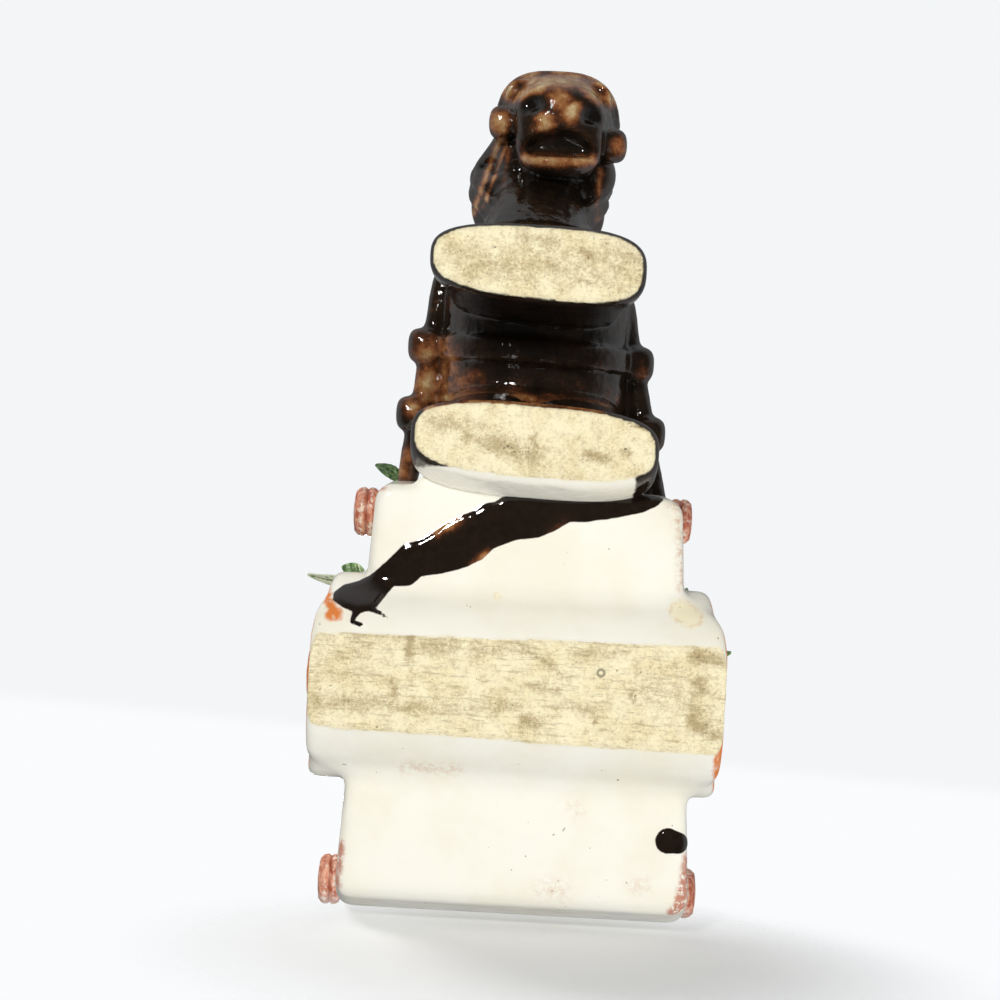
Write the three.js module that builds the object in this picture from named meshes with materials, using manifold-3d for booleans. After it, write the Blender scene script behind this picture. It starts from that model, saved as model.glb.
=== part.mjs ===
// Donkey cart planter: a small glazed earthenware donkey in harness, drawing a two-wheeled cart whose
// open box holds the plant. The members are cast apart, luted together with slip and fired as one.
// Millimetres, +Z up. The donkey faces -Y and the three foot pads stand on z = 0.
// Lengths along the cart (f) are measured forward of the wheel axle, and the whole is centred at the end.

import * as THREE from 'three';
import { mergeVertices } from 'three/addons/utils/BufferGeometryUtils.js';
import Module from 'manifold-3d';

const kernel = await Module();
kernel.setup();

// Casting
const JOINT_GAP = 0.3; // slip joint between two members
const CAST_WALL = 4; // wall of the hollow castings

// Box of the cart
const BOX_LENGTH = 68; // outside, at the floor
const BOX_WIDTH = 50.8; // outside, at the floor, halfway along
const BOX_TAPER = 3.2; // how much closer each side comes to the middle at the front than at the rear
const BOX_HEIGHT = 37; // underside of the floor to the rim
const BOX_CLEARANCE = 6.8; // underside of the floor above the table
const BOX_FLARE = 1; // how far each wall leans out at the rim
const BOX_CORNER = 2.6; // radius of the upright corners
const BOX_EDGE = 3; // rounding of the floor's outer edge
const BOX_FLOOR = 4.5; // thickness of the floor
const BOX_AHEAD = 31; // front wall ahead of the axle, at the floor

// Wheels and the foot block between them
const WHEEL_RADIUS = 16.5;
const WHEEL_STANDOUT = 7.1; // outer face beyond the box, at the floor
const WHEEL_FOOT = 15; // length of the flat that stands on the table
const WHEEL_RIM = 3; // width of the raised rim
const WHEEL_RELIEF = 1.2; // depth of the panels between the spokes
const SPOKE_COUNT = 8;
const SPOKE_WIDTH = 2.6;
const HUB_RADIUS = 4;
const HUB_RISE = 1.8;

// Rails and scrolls along the top of the box
const RAIL_RADIUS = 1.3;
const SCROLL_WIDTH = 3.4;
const SCROLL_GROOVE = 0.6;
const FRONT_SCROLL_RADIUS = 4.2;
const REAR_SCROLL_RADIUS = 5;
const SCROLL_OVERHANG = 2.2; // rear scrolls stand behind the rim by this much

// Flower sprigs on the sides of the box
const FLOWER_FILL = 0.56; // radius, as a share of the height between wheel and rail
const FLOWER_RISE = 2.4;
const FLOWER_AHEAD = 7; // ahead of the axle
const LEAF_WIDTH = 4.2;
const LEAF_THICKNESS = 1.4;
const LEAF_CURL = 3.4; // the curled leaves stand this far out beyond the wheels

// Trunk of the donkey
const TRUNK_LENGTH = 43.5;
const TRUNK_WIDTH = 33;
const TRUNK_HEIGHT = 28;
const BELLY_HEIGHT = 22; // belly above the table
const TRUNK_FULLNESS = 2.8; // how square the barrel's ends are
const WAIST = 0.05; // how far the barrel draws in between shoulder and haunch

// Leg blocks, each a pair of legs cast as one slab with a flat unglazed foot
const FRONT_FOOT_WIDTH = 32.4;
const FRONT_FOOT_LENGTH = 12;
const HIND_FOOT_WIDTH = 37.6;
const HIND_FOOT_LENGTH = 12;
const FRONT_FOOT_BACK = 10.8; // foot middle behind the chest
const HIND_FOOT_AHEAD = 5.2; // foot middle ahead of the rump
const LEG_SPREAD = 1.35; // how much longer each slab is where it meets the belly
const FOOT_EDGE = 0.7; // worn edge round each foot
const CLEFT_DEPTH = 2.6; // hollow between the two legs of a slab, on its front face

// Neck and head. The head hangs from the poll with its muzzle turned down.
const NECK_REACH = 24; // from inside the chest to the poll, along the cart
const NECK_RISE = 25;
const NECK_DEPTH = 21; // front to back, above the chest
const NECK_INSET = 10; // how far inside the chest the neck's middle starts
const NECK_WIDTH = 22; // at the chest
const HEAD_LENGTH = 29; // crown to muzzle
const CROWN_RISE = 6; // crown above the end of the neck's arch
const HEAD_WIDTH = 20; // across the cheeks
const HEAD_DEPTH = 20.5; // forehead to jaw
const MUZZLE_WIDTH = 15.4;
const MUZZLE_DEPTH = 16;
const HEAD_SHIFT = 2.8; // the head leans this far to +X
const HEAD_TURN = 9; // degrees
const EAR_LENGTH = 19;
const EAR_WIDTH = 7.2;
const EAR_SPLAY = 22; // degrees from upright
const EAR_LEAN = 16; // degrees backwards
const MANE_WIDTH = 3.4;
const MANE_RISE = 2.6;
const TAIL_RADIUS = 1.5;

// Harness
const SHAFT_RADIUS = 1.8;
const SHAFT_SPREAD = 3.9; // how far the shafts lie outside the barrel at the cart
const SHAFT_CLOSE = 0.3; // and at the chest
const TUG_WALL = 1.1;
const TUG_LENGTH = 5.4;
const STRAP_WIDTH = 4;
const STRAP_THICKNESS = 1.1;
const BRIDLE_THICKNESS = 0.9;
const COLLAR_THICKNESS = 2.6;
const REIN_RADIUS = 0.9;
const BIT_RADIUS = 3;
const BIT_THICKNESS = 4;

// Worked-out places
const RAD = Math.PI / 180;
const BOX_REAR = BOX_AHEAD - BOX_LENGTH;
const BOX_MIDDLE = (BOX_AHEAD + BOX_REAR) / 2;
const RIM_HEIGHT = BOX_CLEARANCE + BOX_HEIGHT;
const AXLE_HEIGHT = Math.sqrt(WHEEL_RADIUS ** 2 - (WHEEL_FOOT / 2) ** 2);
const WHEEL_FACE = BOX_WIDTH / 2 + WHEEL_STANDOUT;
const WHEEL_BACK = BOX_WIDTH / 2 - BOX_EDGE / 2;
const RUMP = BOX_AHEAD + BOX_FLARE + 4 * JOINT_GAP;
const CHEST = RUMP + TRUNK_LENGTH;
const TRUNK_MIDDLE = BELLY_HEIGHT + TRUNK_HEIGHT / 2;
const FRONT_FOOT = CHEST - FRONT_FOOT_BACK;
const HIND_FOOT = RUMP + HIND_FOOT_AHEAD;
const NECK_START = CHEST - NECK_INSET;
const NECK_FOOT = TRUNK_MIDDLE + TRUNK_HEIGHT / 7;
const HEAD_MIDDLE = NECK_START + NECK_REACH + HEAD_DEPTH / 6;
const CROWN = NECK_FOOT + NECK_RISE + CROWN_RISE;
const FRONT_TUG = FRONT_FOOT - (FRONT_FOOT_LENGTH / 2) * LEG_SPREAD - STRAP_WIDTH * 0.9 - JOINT_GAP;
const REAR_TUG = RUMP + TRUNK_LENGTH * 0.21;
const SHAFT_HEIGHT = TRUNK_MIDDLE - TRUNK_HEIGHT / 14;

// A point x to the side, f ahead of the axle and z above the table.
const at = (x, f, z) => new THREE.Vector3(x, -f, z);

// Half width of the box at a height above the table and a place along the cart.
function wallAt(z, f) {
  const lean = (BOX_FLARE * (z - BOX_CLEARANCE)) / BOX_HEIGHT;
  return BOX_WIDTH / 2 + lean - (BOX_TAPER * (f - BOX_MIDDLE)) / BOX_LENGTH;
}

// Turns a closed mesh so that its faces point out.
function outward(geometry) {
  const place = geometry.getAttribute('position');
  const index = geometry.getIndex().array;
  const corner = (k) => new THREE.Vector3().fromBufferAttribute(place, index[k]);
  let volume = 0;
  for (let k = 0; k < index.length; k += 3) {
    volume += corner(k).dot(corner(k + 1).cross(corner(k + 2)));
  }
  if (volume < 0) {
    for (let k = 0; k < index.length; k += 3) {
      [index[k + 1], index[k + 2]] = [index[k + 2], index[k + 1]];
    }
  }
  return geometry;
}

// Skin over rings with the same number of points. Open rows end in a fan, looped rows meet the first.
function skin(rings, looped = false) {
  const count = rings[0].length;
  const points = rings.flat();
  const index = [];
  const rows = looped ? rings.length : rings.length - 1;
  for (let row = 0; row < rows; row += 1) {
    const next = (row + 1) % rings.length;
    for (let k = 0; k < count; k += 1) {
      const turn = (k + 1) % count;
      const [a, b] = [row * count + k, row * count + turn];
      const [c, d] = [next * count + k, next * count + turn];
      index.push(a, b, d, a, d, c);
    }
  }
  for (const row of looped ? [] : [0, rings.length - 1]) {
    const middle = new THREE.Vector3();
    rings[row].forEach((point) => middle.addScaledVector(point, 1 / count));
    points.push(middle);
    for (let k = 0; k < count; k += 1) {
      const [a, b] = [row * count + k, row * count + ((k + 1) % count)];
      index.push(points.length - 1, ...(row === 0 ? [b, a] : [a, b]));
    }
  }
  const geometry = new THREE.BufferGeometry().setFromPoints(points);
  geometry.setIndex(index);
  return outward(geometry);
}

function solidOf(geometry) {
  const bare = new THREE.BufferGeometry();
  bare.setAttribute('position', geometry.getAttribute('position').clone());
  bare.setIndex(geometry.getIndex());
  const whole = mergeVertices(bare, 1e-4);
  const vertProperties = Float32Array.from(whole.getAttribute('position').array);
  const triVerts = Uint32Array.from(whole.getIndex().array);
  return new kernel.Manifold(new kernel.Mesh({ numProp: 3, vertProperties, triVerts }));
}

function geometryOf(solid) {
  const mesh = solid.getMesh();
  const geometry = new THREE.BufferGeometry();
  geometry.setAttribute('position', new THREE.BufferAttribute(mesh.vertProperties, 3));
  geometry.setIndex(new THREE.BufferAttribute(mesh.triVerts, 1));
  return geometry;
}

// Takes the cutters away and keeps the largest body that is left.
function cut(geometry, ...cutters) {
  const left = cutters.reduce((solid, cutter) => solid.subtract(solidOf(cutter)), solidOf(geometry));
  const bodies = left.decompose();
  bodies.sort((a, b) => b.volume() - a.volume());
  return geometryOf(bodies[0]);
}

function join(...members) {
  return geometryOf(members.map(solidOf).reduce((whole, next) => whole.add(next)));
}

// Smooth values between stations: a cubic through each named value, at even steps along the list.
function smooth(stations, place) {
  const last = stations.length - 1;
  const k = THREE.MathUtils.clamp(Math.floor(place), 0, last - 1);
  const t = place - k;
  const value = (n, key) => stations[THREE.MathUtils.clamp(n, 0, last)][key];
  const blend = (key) => {
    const [p, q, r, s] = [k - 1, k, k + 1, k + 2].map((n) => value(n, key));
    const [m, n] = [(r - p) / 2, (s - q) / 2];
    return q + m * t + (3 * (r - q) - 2 * m - n) * t ** 2 + (2 * (q - r) + m + n) * t ** 3;
  };
  return Object.fromEntries(Object.keys(stations[0]).map((key) => [key, blend(key)]));
}

// One point of a section: a superellipse across the member, its upper axis tilted in the side view.
function onSection({ x = 0, f, z, wide, deep, tilt = 90, power = 2.3 }, angle, grow = 0) {
  const [c, s] = [Math.cos(angle), Math.sin(angle)];
  const reach = (Math.abs(c) ** power + Math.abs(s) ** power) ** (-1 / power);
  const up = (deep + grow) * reach * s;
  return at(
    x + (wide + grow) * reach * c,
    f + up * Math.cos(tilt * RAD),
    z + up * Math.sin(tilt * RAD),
  );
}

function sectionRing(section, count, grow = 0) {
  return Array.from({ length: count }, (_, k) => onSection(section, (2 * Math.PI * k) / count, grow));
}

// A member through its stations, grown all round and at both ends by `grow`.
function member(stations, count, steps, grow = 0) {
  const last = stations.length - 1;
  const rings = Array.from({ length: steps + 1 }, (_, k) => {
    return sectionRing(smooth(stations, (last * k) / steps), count, grow);
  });
  for (const [end, inner] of [[0, 1], [last, last - 1]]) {
    const [from, to] = [stations[inner], stations[end]];
    const away = at((to.x ?? 0) - (from.x ?? 0), to.f - from.f, to.z - from.z).setLength(grow);
    rings[end === 0 ? 0 : steps].forEach((point) => point.add(away));
  }
  return skin(rings);
}

// A strap laid on a surface. `lay(across, along, grow)` gives its points, both shares from 0 to 1.
function strap(lay, steps, thickness) {
  const rings = Array.from({ length: steps + 1 }, (_, k) => {
    const share = k / steps;
    const inner = [0, 0.5, 1].map((across) => lay(across, share, JOINT_GAP));
    const outer = [0.9, 0.5, 0.1].map((across) => lay(across, share, JOINT_GAP + thickness));
    return [...inner, ...outer];
  });
  return skin(rings);
}

// A round rod along points, with flat ends.
function rod(points, radius, sides, steps) {
  const shape = new THREE.Shape().absarc(0, 0, radius, 0, 2 * Math.PI);
  const extrudePath = new THREE.CatmullRomCurve3(points);
  const options = { steps, extrudePath, bevelEnabled: false, curveSegments: sides };
  return welded(new THREE.ExtrudeGeometry(shape, options));
}

function welded(geometry) {
  const bare = new THREE.BufferGeometry();
  bare.setAttribute('position', geometry.getAttribute('position'));
  if (geometry.getIndex()) {
    bare.setIndex(geometry.getIndex());
  }
  return outward(mergeVertices(bare, 1e-4));
}

// An outline drawn in side view (f, z), extruded from x = start towards -X.
function sideways(shape, start, depth, curveSegments = 24) {
  const geometry = new THREE.ExtrudeGeometry(shape, { depth, bevelEnabled: false, curveSegments });
  const turn = new THREE.Matrix4().makeBasis(at(0, 1, 0), at(0, 0, 1), new THREE.Vector3(-1, 0, 0));
  return welded(geometry.applyMatrix4(turn.setPosition(start, 0, 0)));
}

function ellipsoid(middle, x, f, z, segments = 16) {
  const ball = new THREE.SphereGeometry(1, segments, segments / 2).scale(x, f, z);
  return welded(ball.translate(middle.x, middle.y, middle.z));
}

function mirrored(geometry) {
  return outward(geometry.clone().applyMatrix4(new THREE.Matrix4().makeScale(-1, 1, 1)));
}

// Box of the cart
// A rounded rectangle round the box at one height, drawn in by `inset`.
function boxRing(z, inset, perCorner = 7) {
  const lean = (BOX_FLARE * (z - BOX_CLEARANCE)) / BOX_HEIGHT;
  const [wide, long] = [BOX_WIDTH / 2 + lean - inset, BOX_LENGTH / 2 + lean - inset];
  const radius = Math.max(BOX_CORNER + lean - inset, 1.5);
  const corners = [[1, 1, 0], [-1, 1, 90], [-1, -1, 180], [1, -1, 270]];
  return corners.flatMap(([sx, sf, from]) => {
    return Array.from({ length: perCorner }, (_, k) => {
      const angle = (from + (90 * k) / (perCorner - 1)) * RAD;
      const f = BOX_MIDDLE + sf * (long - radius) + radius * Math.sin(angle);
      const taper = (BOX_TAPER * (f - BOX_MIDDLE)) / BOX_LENGTH;
      return at(sx * (wide - radius - taper) + radius * Math.cos(angle), f, z);
    });
  });
}

// The outer half of the box from the middle of the floor to the rim, grown by `grow`.
function boxOutside(grow) {
  const edge = [0, 30, 60, 90].map((turn) => {
    const inset = BOX_EDGE * (1 - Math.sin(turn * RAD)) - grow;
    return boxRing(BOX_CLEARANCE - grow + BOX_EDGE * (1 - Math.cos(turn * RAD)), inset);
  });
  const rounding = CAST_WALL / 4;
  const rim = [boxRing(RIM_HEIGHT - rounding, -grow), boxRing(RIM_HEIGHT + grow, rounding - grow)];
  return [...edge, boxRing(RIM_HEIGHT / 2, -grow), ...rim];
}

const boxBody = skin([
  ...boxOutside(0),
  boxRing(RIM_HEIGHT, CAST_WALL - CAST_WALL / 4),
  boxRing(RIM_HEIGHT - CAST_WALL / 4, CAST_WALL),
  boxRing(BOX_CLEARANCE + BOX_FLOOR + 3, CAST_WALL),
  boxRing(BOX_CLEARANCE + BOX_FLOOR + 0.8, CAST_WALL + 0.8),
  boxRing(BOX_CLEARANCE + BOX_FLOOR, CAST_WALL + 3),
]);
const boxRoom = skin(boxOutside(JOINT_GAP));

// Foot block and wheels. The wheels are rounds with a flat on the table.
const footAngle = Math.acos(AXLE_HEIGHT / WHEEL_RADIUS);
const underAngle = Math.acos((AXLE_HEIGHT - BOX_CLEARANCE + JOINT_GAP) / WHEEL_RADIUS);
const down = -Math.PI / 2;
const blockOutline = new THREE.Shape();
blockOutline.absarc(0, AXLE_HEIGHT, WHEEL_RADIUS, down + footAngle, down + underAngle);
blockOutline.absarc(0, AXLE_HEIGHT, WHEEL_RADIUS, down - underAngle, down - footAngle);
const blockHalf = WHEEL_BACK - JOINT_GAP;
const wheelBlock = sideways(blockOutline, blockHalf, 2 * blockHalf, 8);

const wheelOutline = new THREE.Shape();
const wheelTurn = 2 * Math.PI + down - footAngle;
wheelOutline.absarc(0, AXLE_HEIGHT, WHEEL_RADIUS, down + footAngle, wheelTurn);
const panelOuter = WHEEL_RADIUS - WHEEL_RIM;
const panelInner = HUB_RADIUS + 1.2;
const panels = Array.from({ length: SPOKE_COUNT }, (_, k) => {
  const middle = (2 * Math.PI * (k + 0.5)) / SPOKE_COUNT;
  const share = Math.PI / SPOKE_COUNT;
  const [wideOut, wideIn] = [panelOuter, panelInner].map((r) => share - SPOKE_WIDTH / (2 * r));
  const outline = new THREE.Shape();
  outline.absarc(0, AXLE_HEIGHT, panelOuter, middle - wideOut, middle + wideOut);
  outline.absarc(0, AXLE_HEIGHT, panelInner, middle + wideIn, middle - wideIn, true);
  return sideways(outline, WHEEL_FACE + 1, WHEEL_RELIEF + 1, 3);
});
const wheelDisc = sideways(wheelOutline, WHEEL_FACE, WHEEL_FACE - WHEEL_BACK, 36);
const rightWheel = cut(wheelDisc, boxRoom, ...panels);
const hubProfile = [[0, 0], [1, 0], [1, 0.35], [0.75, 0.8], [0.4, 1], [0, 1]];
const hubOutline = hubProfile.map(([r, h]) => new THREE.Vector2(r * HUB_RADIUS, h * HUB_RISE));
const rightHub = welded(new THREE.LatheGeometry(hubOutline, 14).rotateZ(-Math.PI / 2));
rightHub.translate(WHEEL_FACE + JOINT_GAP, 0, AXLE_HEIGHT);

// Rails and scrolls, built for +X
function scroll(radius, f) {
  const [half, groove] = [SCROLL_WIDTH / 2, SCROLL_GROOVE];
  const profile = [
    [0, -half], [radius - 0.7, -half], [radius, 0.7 - half], [radius, -groove], [radius - groove, 0],
    [radius, groove], [radius, half - 0.7], [radius - 0.7, half], [radius * 0.45, half],
    [radius * 0.4, half + 0.3], [0, half + 0.4],
  ];
  const outline = profile.map(([r, h]) => new THREE.Vector2(r, h));
  const height = RIM_HEIGHT - radius + 0.4;
  const knob = welded(new THREE.LatheGeometry(outline, 18).rotateZ(-Math.PI / 2));
  return cut(knob.translate(wallAt(RIM_HEIGHT, f) + half - 0.4, -f, height), boxRoom);
}

const frontScrollAt = BOX_AHEAD + BOX_FLARE - FRONT_SCROLL_RADIUS - 0.4;
const rearScrollAt = BOX_REAR - BOX_FLARE - SCROLL_OVERHANG + REAR_SCROLL_RADIUS;
const frontScroll = scroll(FRONT_SCROLL_RADIUS, frontScrollAt);
const rearScroll = scroll(REAR_SCROLL_RADIUS, rearScrollAt);
const railHeight = RIM_HEIGHT - RAIL_RADIUS - 0.6;
const railEnds = [
  frontScrollAt - FRONT_SCROLL_RADIUS - JOINT_GAP,
  rearScrollAt + REAR_SCROLL_RADIUS + JOINT_GAP,
];
const railSide = (f) => wallAt(railHeight, f);
const railPath = railEnds.map((f) => at(railSide(f), f, railHeight));
const rail = cut(rod(railPath, RAIL_RADIUS, 12, 1), boxRoom);

// Flower sprigs. A flower has five petals round a button, and stands out along +X.
function flower(f, z) {
  const rows = [[0.8, -0.6], [0.95, 0.1], [1, 0.45], [0.72, 0.8], [0.42, 0.6], [0.32, 0.95], [0.1, 1.05]];
  const rings = rows.map(([share, rise]) => {
    return Array.from({ length: 20 }, (_, k) => {
      const angle = (2 * Math.PI * k) / 20;
      const petal = share > 0.5 ? 0.72 + 0.28 * Math.abs(Math.cos(2.5 * angle)) : 0.85;
      const radius = flowerRadius * share * petal;
      const side = wallAt(z, f) + JOINT_GAP + rise * FLOWER_RISE;
      return at(side, f + radius * Math.sin(angle), z + radius * Math.cos(angle));
    });
  });
  return skin(rings);
}

// A pointed leaf from its stalk to its tip, its flat side turned to `facing`.
function leaf(stalk, tip, facing) {
  const along = tip.clone().sub(stalk);
  const side = along.clone().cross(facing).normalize();
  const out = side.clone().cross(along).normalize();
  const rings = Array.from({ length: 7 }, (_, row) => {
    const share = row / 6;
    const wide = (LEAF_WIDTH / 2) * (0.12 + 0.88 * Math.sin(Math.PI * share ** 0.8) ** 0.8);
    const thick = (LEAF_THICKNESS / 2) * (1 - 0.6 * share);
    const middle = stalk.clone().addScaledVector(along, share);
    middle.addScaledVector(out, LEAF_THICKNESS * 0.5 * Math.sin(Math.PI * share));
    return Array.from({ length: 8 }, (_, k) => {
      const angle = (2 * Math.PI * k) / 8;
      const point = middle.clone().addScaledVector(side, wide * Math.cos(angle));
      return point.addScaledVector(out, thick * Math.sin(angle));
    });
  });
  return skin(rings);
}

const wheelTop = AXLE_HEIGHT + WHEEL_RADIUS;
const railUnder = railHeight - RAIL_RADIUS;
const flowerRadius = (railUnder - wheelTop) * FLOWER_FILL;
const flowerHeight = railUnder - flowerRadius - 2 * JOINT_GAP;
const wallThere = wallAt(flowerHeight, FLOWER_AHEAD) + JOINT_GAP + LEAF_THICKNESS / 2;
const bloom = flower(FLOWER_AHEAD, flowerHeight);
const rightFlower = cut(bloom, boxRoom, rightWheel);
const flowerRoom = bloom.clone().translate(-FLOWER_RISE, 0, 0);
const flowerKeep = join(bloom, flowerRoom);

// Leaves by place: how far forward and up the stalk and the tip lie from the flower's middle, in flower
// radii, and how far out they stand from the wall.
function sprigLeaf([fromOut, from, fromUp], [toOut, to, toUp], facing = [1, 0, 0.2]) {
  const spot = (out, f, z) => {
    return at(wallThere + out, FLOWER_AHEAD + f * flowerRadius, flowerHeight + z * flowerRadius);
  };
  const blade = leaf(spot(fromOut, from, fromUp), spot(toOut, to, toUp), at(...facing));
  return cut(blade, boxRoom, bloom, flowerKeep, rail, rightWheel);
}

const curlOut = WHEEL_FACE + LEAF_CURL - wallThere;
const lift = LEAF_THICKNESS * 0.15;
const rise = LEAF_THICKNESS * 0.7;
const leaves = {
  left_front_leaf: mirrored(sprigLeaf([2 * lift, 1.06, 0.12], [curlOut, 2.2, 0.2], [1, -0.8, 0.6])),
  left_low_leaf: mirrored(sprigLeaf([lift, 1.06, -0.3], [2 * rise, 2.4, -0.7])),
  left_rear_leaf: mirrored(sprigLeaf([lift, -1.06, 0.04], [rise, -2.75, 0.2])),
  right_front_leaf: sprigLeaf([lift, 1.06, 0.04], [rise, 1.75, -0.2]),
  right_curled_leaf: sprigLeaf([3 * lift, -1.06, -0.08], [curlOut, -0.73, -0.34], [0.6, -1, 1]),
  right_rear_leaf: sprigLeaf([lift, -1.52, 0.3], [rise, -2.95, 0.3]),
};
const shaftTop = SHAFT_HEIGHT + SHAFT_RADIUS;
const cornerHeight = (shaftTop + RIM_HEIGHT) / 2;
const cornerWall = BOX_AHEAD + (BOX_FLARE * (cornerHeight - BOX_CLEARANCE)) / BOX_HEIGHT;
const cornerOut = cornerWall + JOINT_GAP + LEAF_THICKNESS / 2;
const cornerStalk = at(-BOX_WIDTH * 0.38, cornerOut, cornerHeight - 0.1 * LEAF_WIDTH);
const cornerTip = cornerStalk.clone().add(at(-1.46 * flowerRadius, 0.5 * flowerRadius, 0.2 * flowerRadius));
leaves.corner_leaf = cut(leaf(cornerStalk, cornerTip, at(0.3, 1, -0.5)), boxRoom, mirrored(frontScroll));

// Trunk: a barrel with rounded ends, hollow, and open where the neck is luted on.
function trunkSection(f, grow = 0) {
  const half = TRUNK_LENGTH / 2;
  const place = (f - RUMP - half) / (half + grow);
  const end = Math.max(1 - Math.abs(place) ** TRUNK_FULLNESS, 0) ** (1 / TRUNK_FULLNESS);
  const waist = 1 - WAIST * Math.exp(-((place / 0.35) ** 2));
  const wide = (TRUNK_WIDTH / 2 + grow) * end * waist;
  return { f, z: TRUNK_MIDDLE, wide, deep: (TRUNK_HEIGHT / 2 + grow) * end, tilt: 90, power: 2.3 };
}

function trunkSkin(grow, count = 26, steps = 17) {
  const half = TRUNK_LENGTH / 2 + grow;
  const rings = Array.from({ length: steps - 1 }, (_, k) => {
    const f = RUMP + TRUNK_LENGTH / 2 - half * Math.cos((Math.PI * (k + 1)) / steps);
    return sectionRing(trunkSection(f, grow), count);
  });
  return skin(rings);
}

const trunkRoom = trunkSkin(JOINT_GAP);

// Neck: an arch from inside the chest up to the poll.
const neckRows = [
  [0, 0, 0, 1, 0.92, 142], [0.27, 0.34, 0.1, 0.93, 1, 140], [0.52, 0.68, 0.4, 0.84, 0.95, 134],
  [0.77, 0.92, 0.8, 0.76, 0.84, 116], [1, 1, 1, 0.68, 0.72, 95],
];
const neckStations = neckRows.map(([reach, rise, lean, wide, deep, tilt]) => ({
  x: HEAD_SHIFT * lean,
  f: NECK_START + NECK_REACH * reach,
  z: NECK_FOOT + NECK_RISE * rise,
  wide: (NECK_WIDTH / 2) * wide,
  deep: (NECK_DEPTH / 2) * deep,
  tilt,
  power: 2.2,
}));
const neckEnd = neckStations.length - 1;
const neckCore = member(neckStations, 22, 12);
const neckRoom = member(neckStations, 22, 12, JOINT_GAP);
const neckBore = member(neckStations.slice(0, 4), 14, 6, -CAST_WALL);

// Head, drawn upright about x = 0, then leaned and turned.
const headRows = [
  [0, 0.3, 0.3, 0.12, 0], [0.07, 0.66, 0.66, 0.07, 0], [0.2, 0.93, 0.95, 0.02, 0], [0.38, 1, 1, 0, 0],
  [0.56, 0.72, 0.78, 0.05, 0.2], [0.74, 0, 0, 0.073, 0.94], [0.88, 0, 0, 0.078, 1],
  [0.965, 0, 0, 0.078, 0.8], [1, 0, 0, 0.078, 0.36],
];
const headStations = headRows.map(([drop, wide, deep, back, muzzle]) => ({
  f: HEAD_MIDDLE - HEAD_DEPTH * back,
  z: CROWN - HEAD_LENGTH * drop,
  wide: (HEAD_WIDTH * wide + MUZZLE_WIDTH * muzzle) / 2,
  deep: (HEAD_DEPTH * deep + MUZZLE_DEPTH * muzzle) / 2,
  tilt: 0,
  power: 2.2,
}));
const headEnd = headStations.length - 1;
const pivot = at(0, HEAD_MIDDLE, 0);
const headPlace = new THREE.Matrix4().makeTranslation(HEAD_SHIFT, pivot.y, 0);
headPlace.multiply(new THREE.Matrix4().makeRotationZ(HEAD_TURN * RAD));
headPlace.multiply(new THREE.Matrix4().makeTranslation(0, -pivot.y, 0));
const placed = (geometry) => geometry.clone().applyMatrix4(headPlace);
const onHead = (drop, angle, grow) => onSection(smooth(headStations, drop * headEnd), angle, grow);

const headBlank = member(headStations, 24, 18);
const headRoom = placed(member(headStations, 24, 18, JOINT_GAP));
const muzzleEnd = CROWN - HEAD_LENGTH;
const muzzleMiddle = headStations[headEnd].f;
const mouthAt = at(0, muzzleMiddle - MUZZLE_DEPTH * 0.15, muzzleEnd + MUZZLE_DEPTH * 0.04);
const mouth = ellipsoid(mouthAt, MUZZLE_WIDTH * 0.42, MUZZLE_DEPTH * 0.06, MUZZLE_DEPTH * 0.11, 12);
const nostrils = [-1, 1].map((side) => {
  const [out, size] = [side * MUZZLE_WIDTH * 0.36, MUZZLE_DEPTH * 0.095];
  const middle = at(out, muzzleMiddle + MUZZLE_DEPTH * 0.2, muzzleEnd + MUZZLE_DEPTH * 0.12);
  return ellipsoid(middle, size * 1.1, size, size, 10);
});
const eyes = [-1, 1].map((side) => {
  const [out, size] = [side * HEAD_WIDTH * 0.41, HEAD_WIDTH * 0.08];
  const middle = at(out, HEAD_MIDDLE + HEAD_DEPTH * 0.175, CROWN - HEAD_LENGTH * 0.45);
  return ellipsoid(middle, size * 0.94, size * 1.2, size, 10);
});
const head = placed(cut(join(headBlank, ...eyes), mouth, ...nostrils));

// Ears: long cupped leaves, leaning out and back from the crown.
function ear(side) {
  const rows = [
    [0, 0.6, 0.53], [0.16, 0.8, 0.58], [0.45, 1, 0.56],
    [0.74, 0.74, 0.42], [0.94, 0.28, 0.22], [1, 0.1, 0.08],
  ];
  const stations = rows.map(([share, wide, deep]) => ({
    f: 0,
    z: EAR_LENGTH * share,
    wide: (EAR_WIDTH / 2) * wide,
    deep: (EAR_WIDTH / 2) * deep,
    tilt: 0,
    power: 2,
  }));
  const blank = member(stations, 12, 9);
  const cupAt = at(0, EAR_WIDTH * 0.28, EAR_LENGTH * 0.52);
  const cup = ellipsoid(cupAt, EAR_WIDTH * 0.34, EAR_WIDTH * 0.18, EAR_LENGTH * 0.36, 10);
  const shaped = cut(blank, cup).rotateX(-EAR_LEAN * RAD).rotateY(side * EAR_SPLAY * RAD);
  const root = at(side * HEAD_WIDTH * 0.27, HEAD_MIDDLE - HEAD_DEPTH / 6, CROWN - HEAD_LENGTH * 0.09);
  return cut(placed(shaped.translate(root.x, root.y, root.z)), headRoom, neckRoom);
}

// Collar: a padded ring round the neck behind the jaw.
const collarAt = 1.55;
const collarRows = [
  [-0.26, 0], [-0.24, 0.6], [-0.1, 1], [0.1, 1], [0.24, 0.6], [0.26, 0], [0.1, 0], [-0.1, 0],
];
const collarRing = collarRows.map(([along, rise]) => {
  const section = smooth(neckStations, collarAt + along);
  return sectionRing(section, 22, JOINT_GAP + COLLAR_THICKNESS * rise);
});
const collar = cut(skin(collarRing, true), trunkRoom, headRoom);
const neck = cut(neckCore, trunkRoom, headRoom, neckBore);
const trunk = cut(trunkSkin(0), trunkSkin(-CAST_WALL, 16, 10), neckBore);

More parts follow.
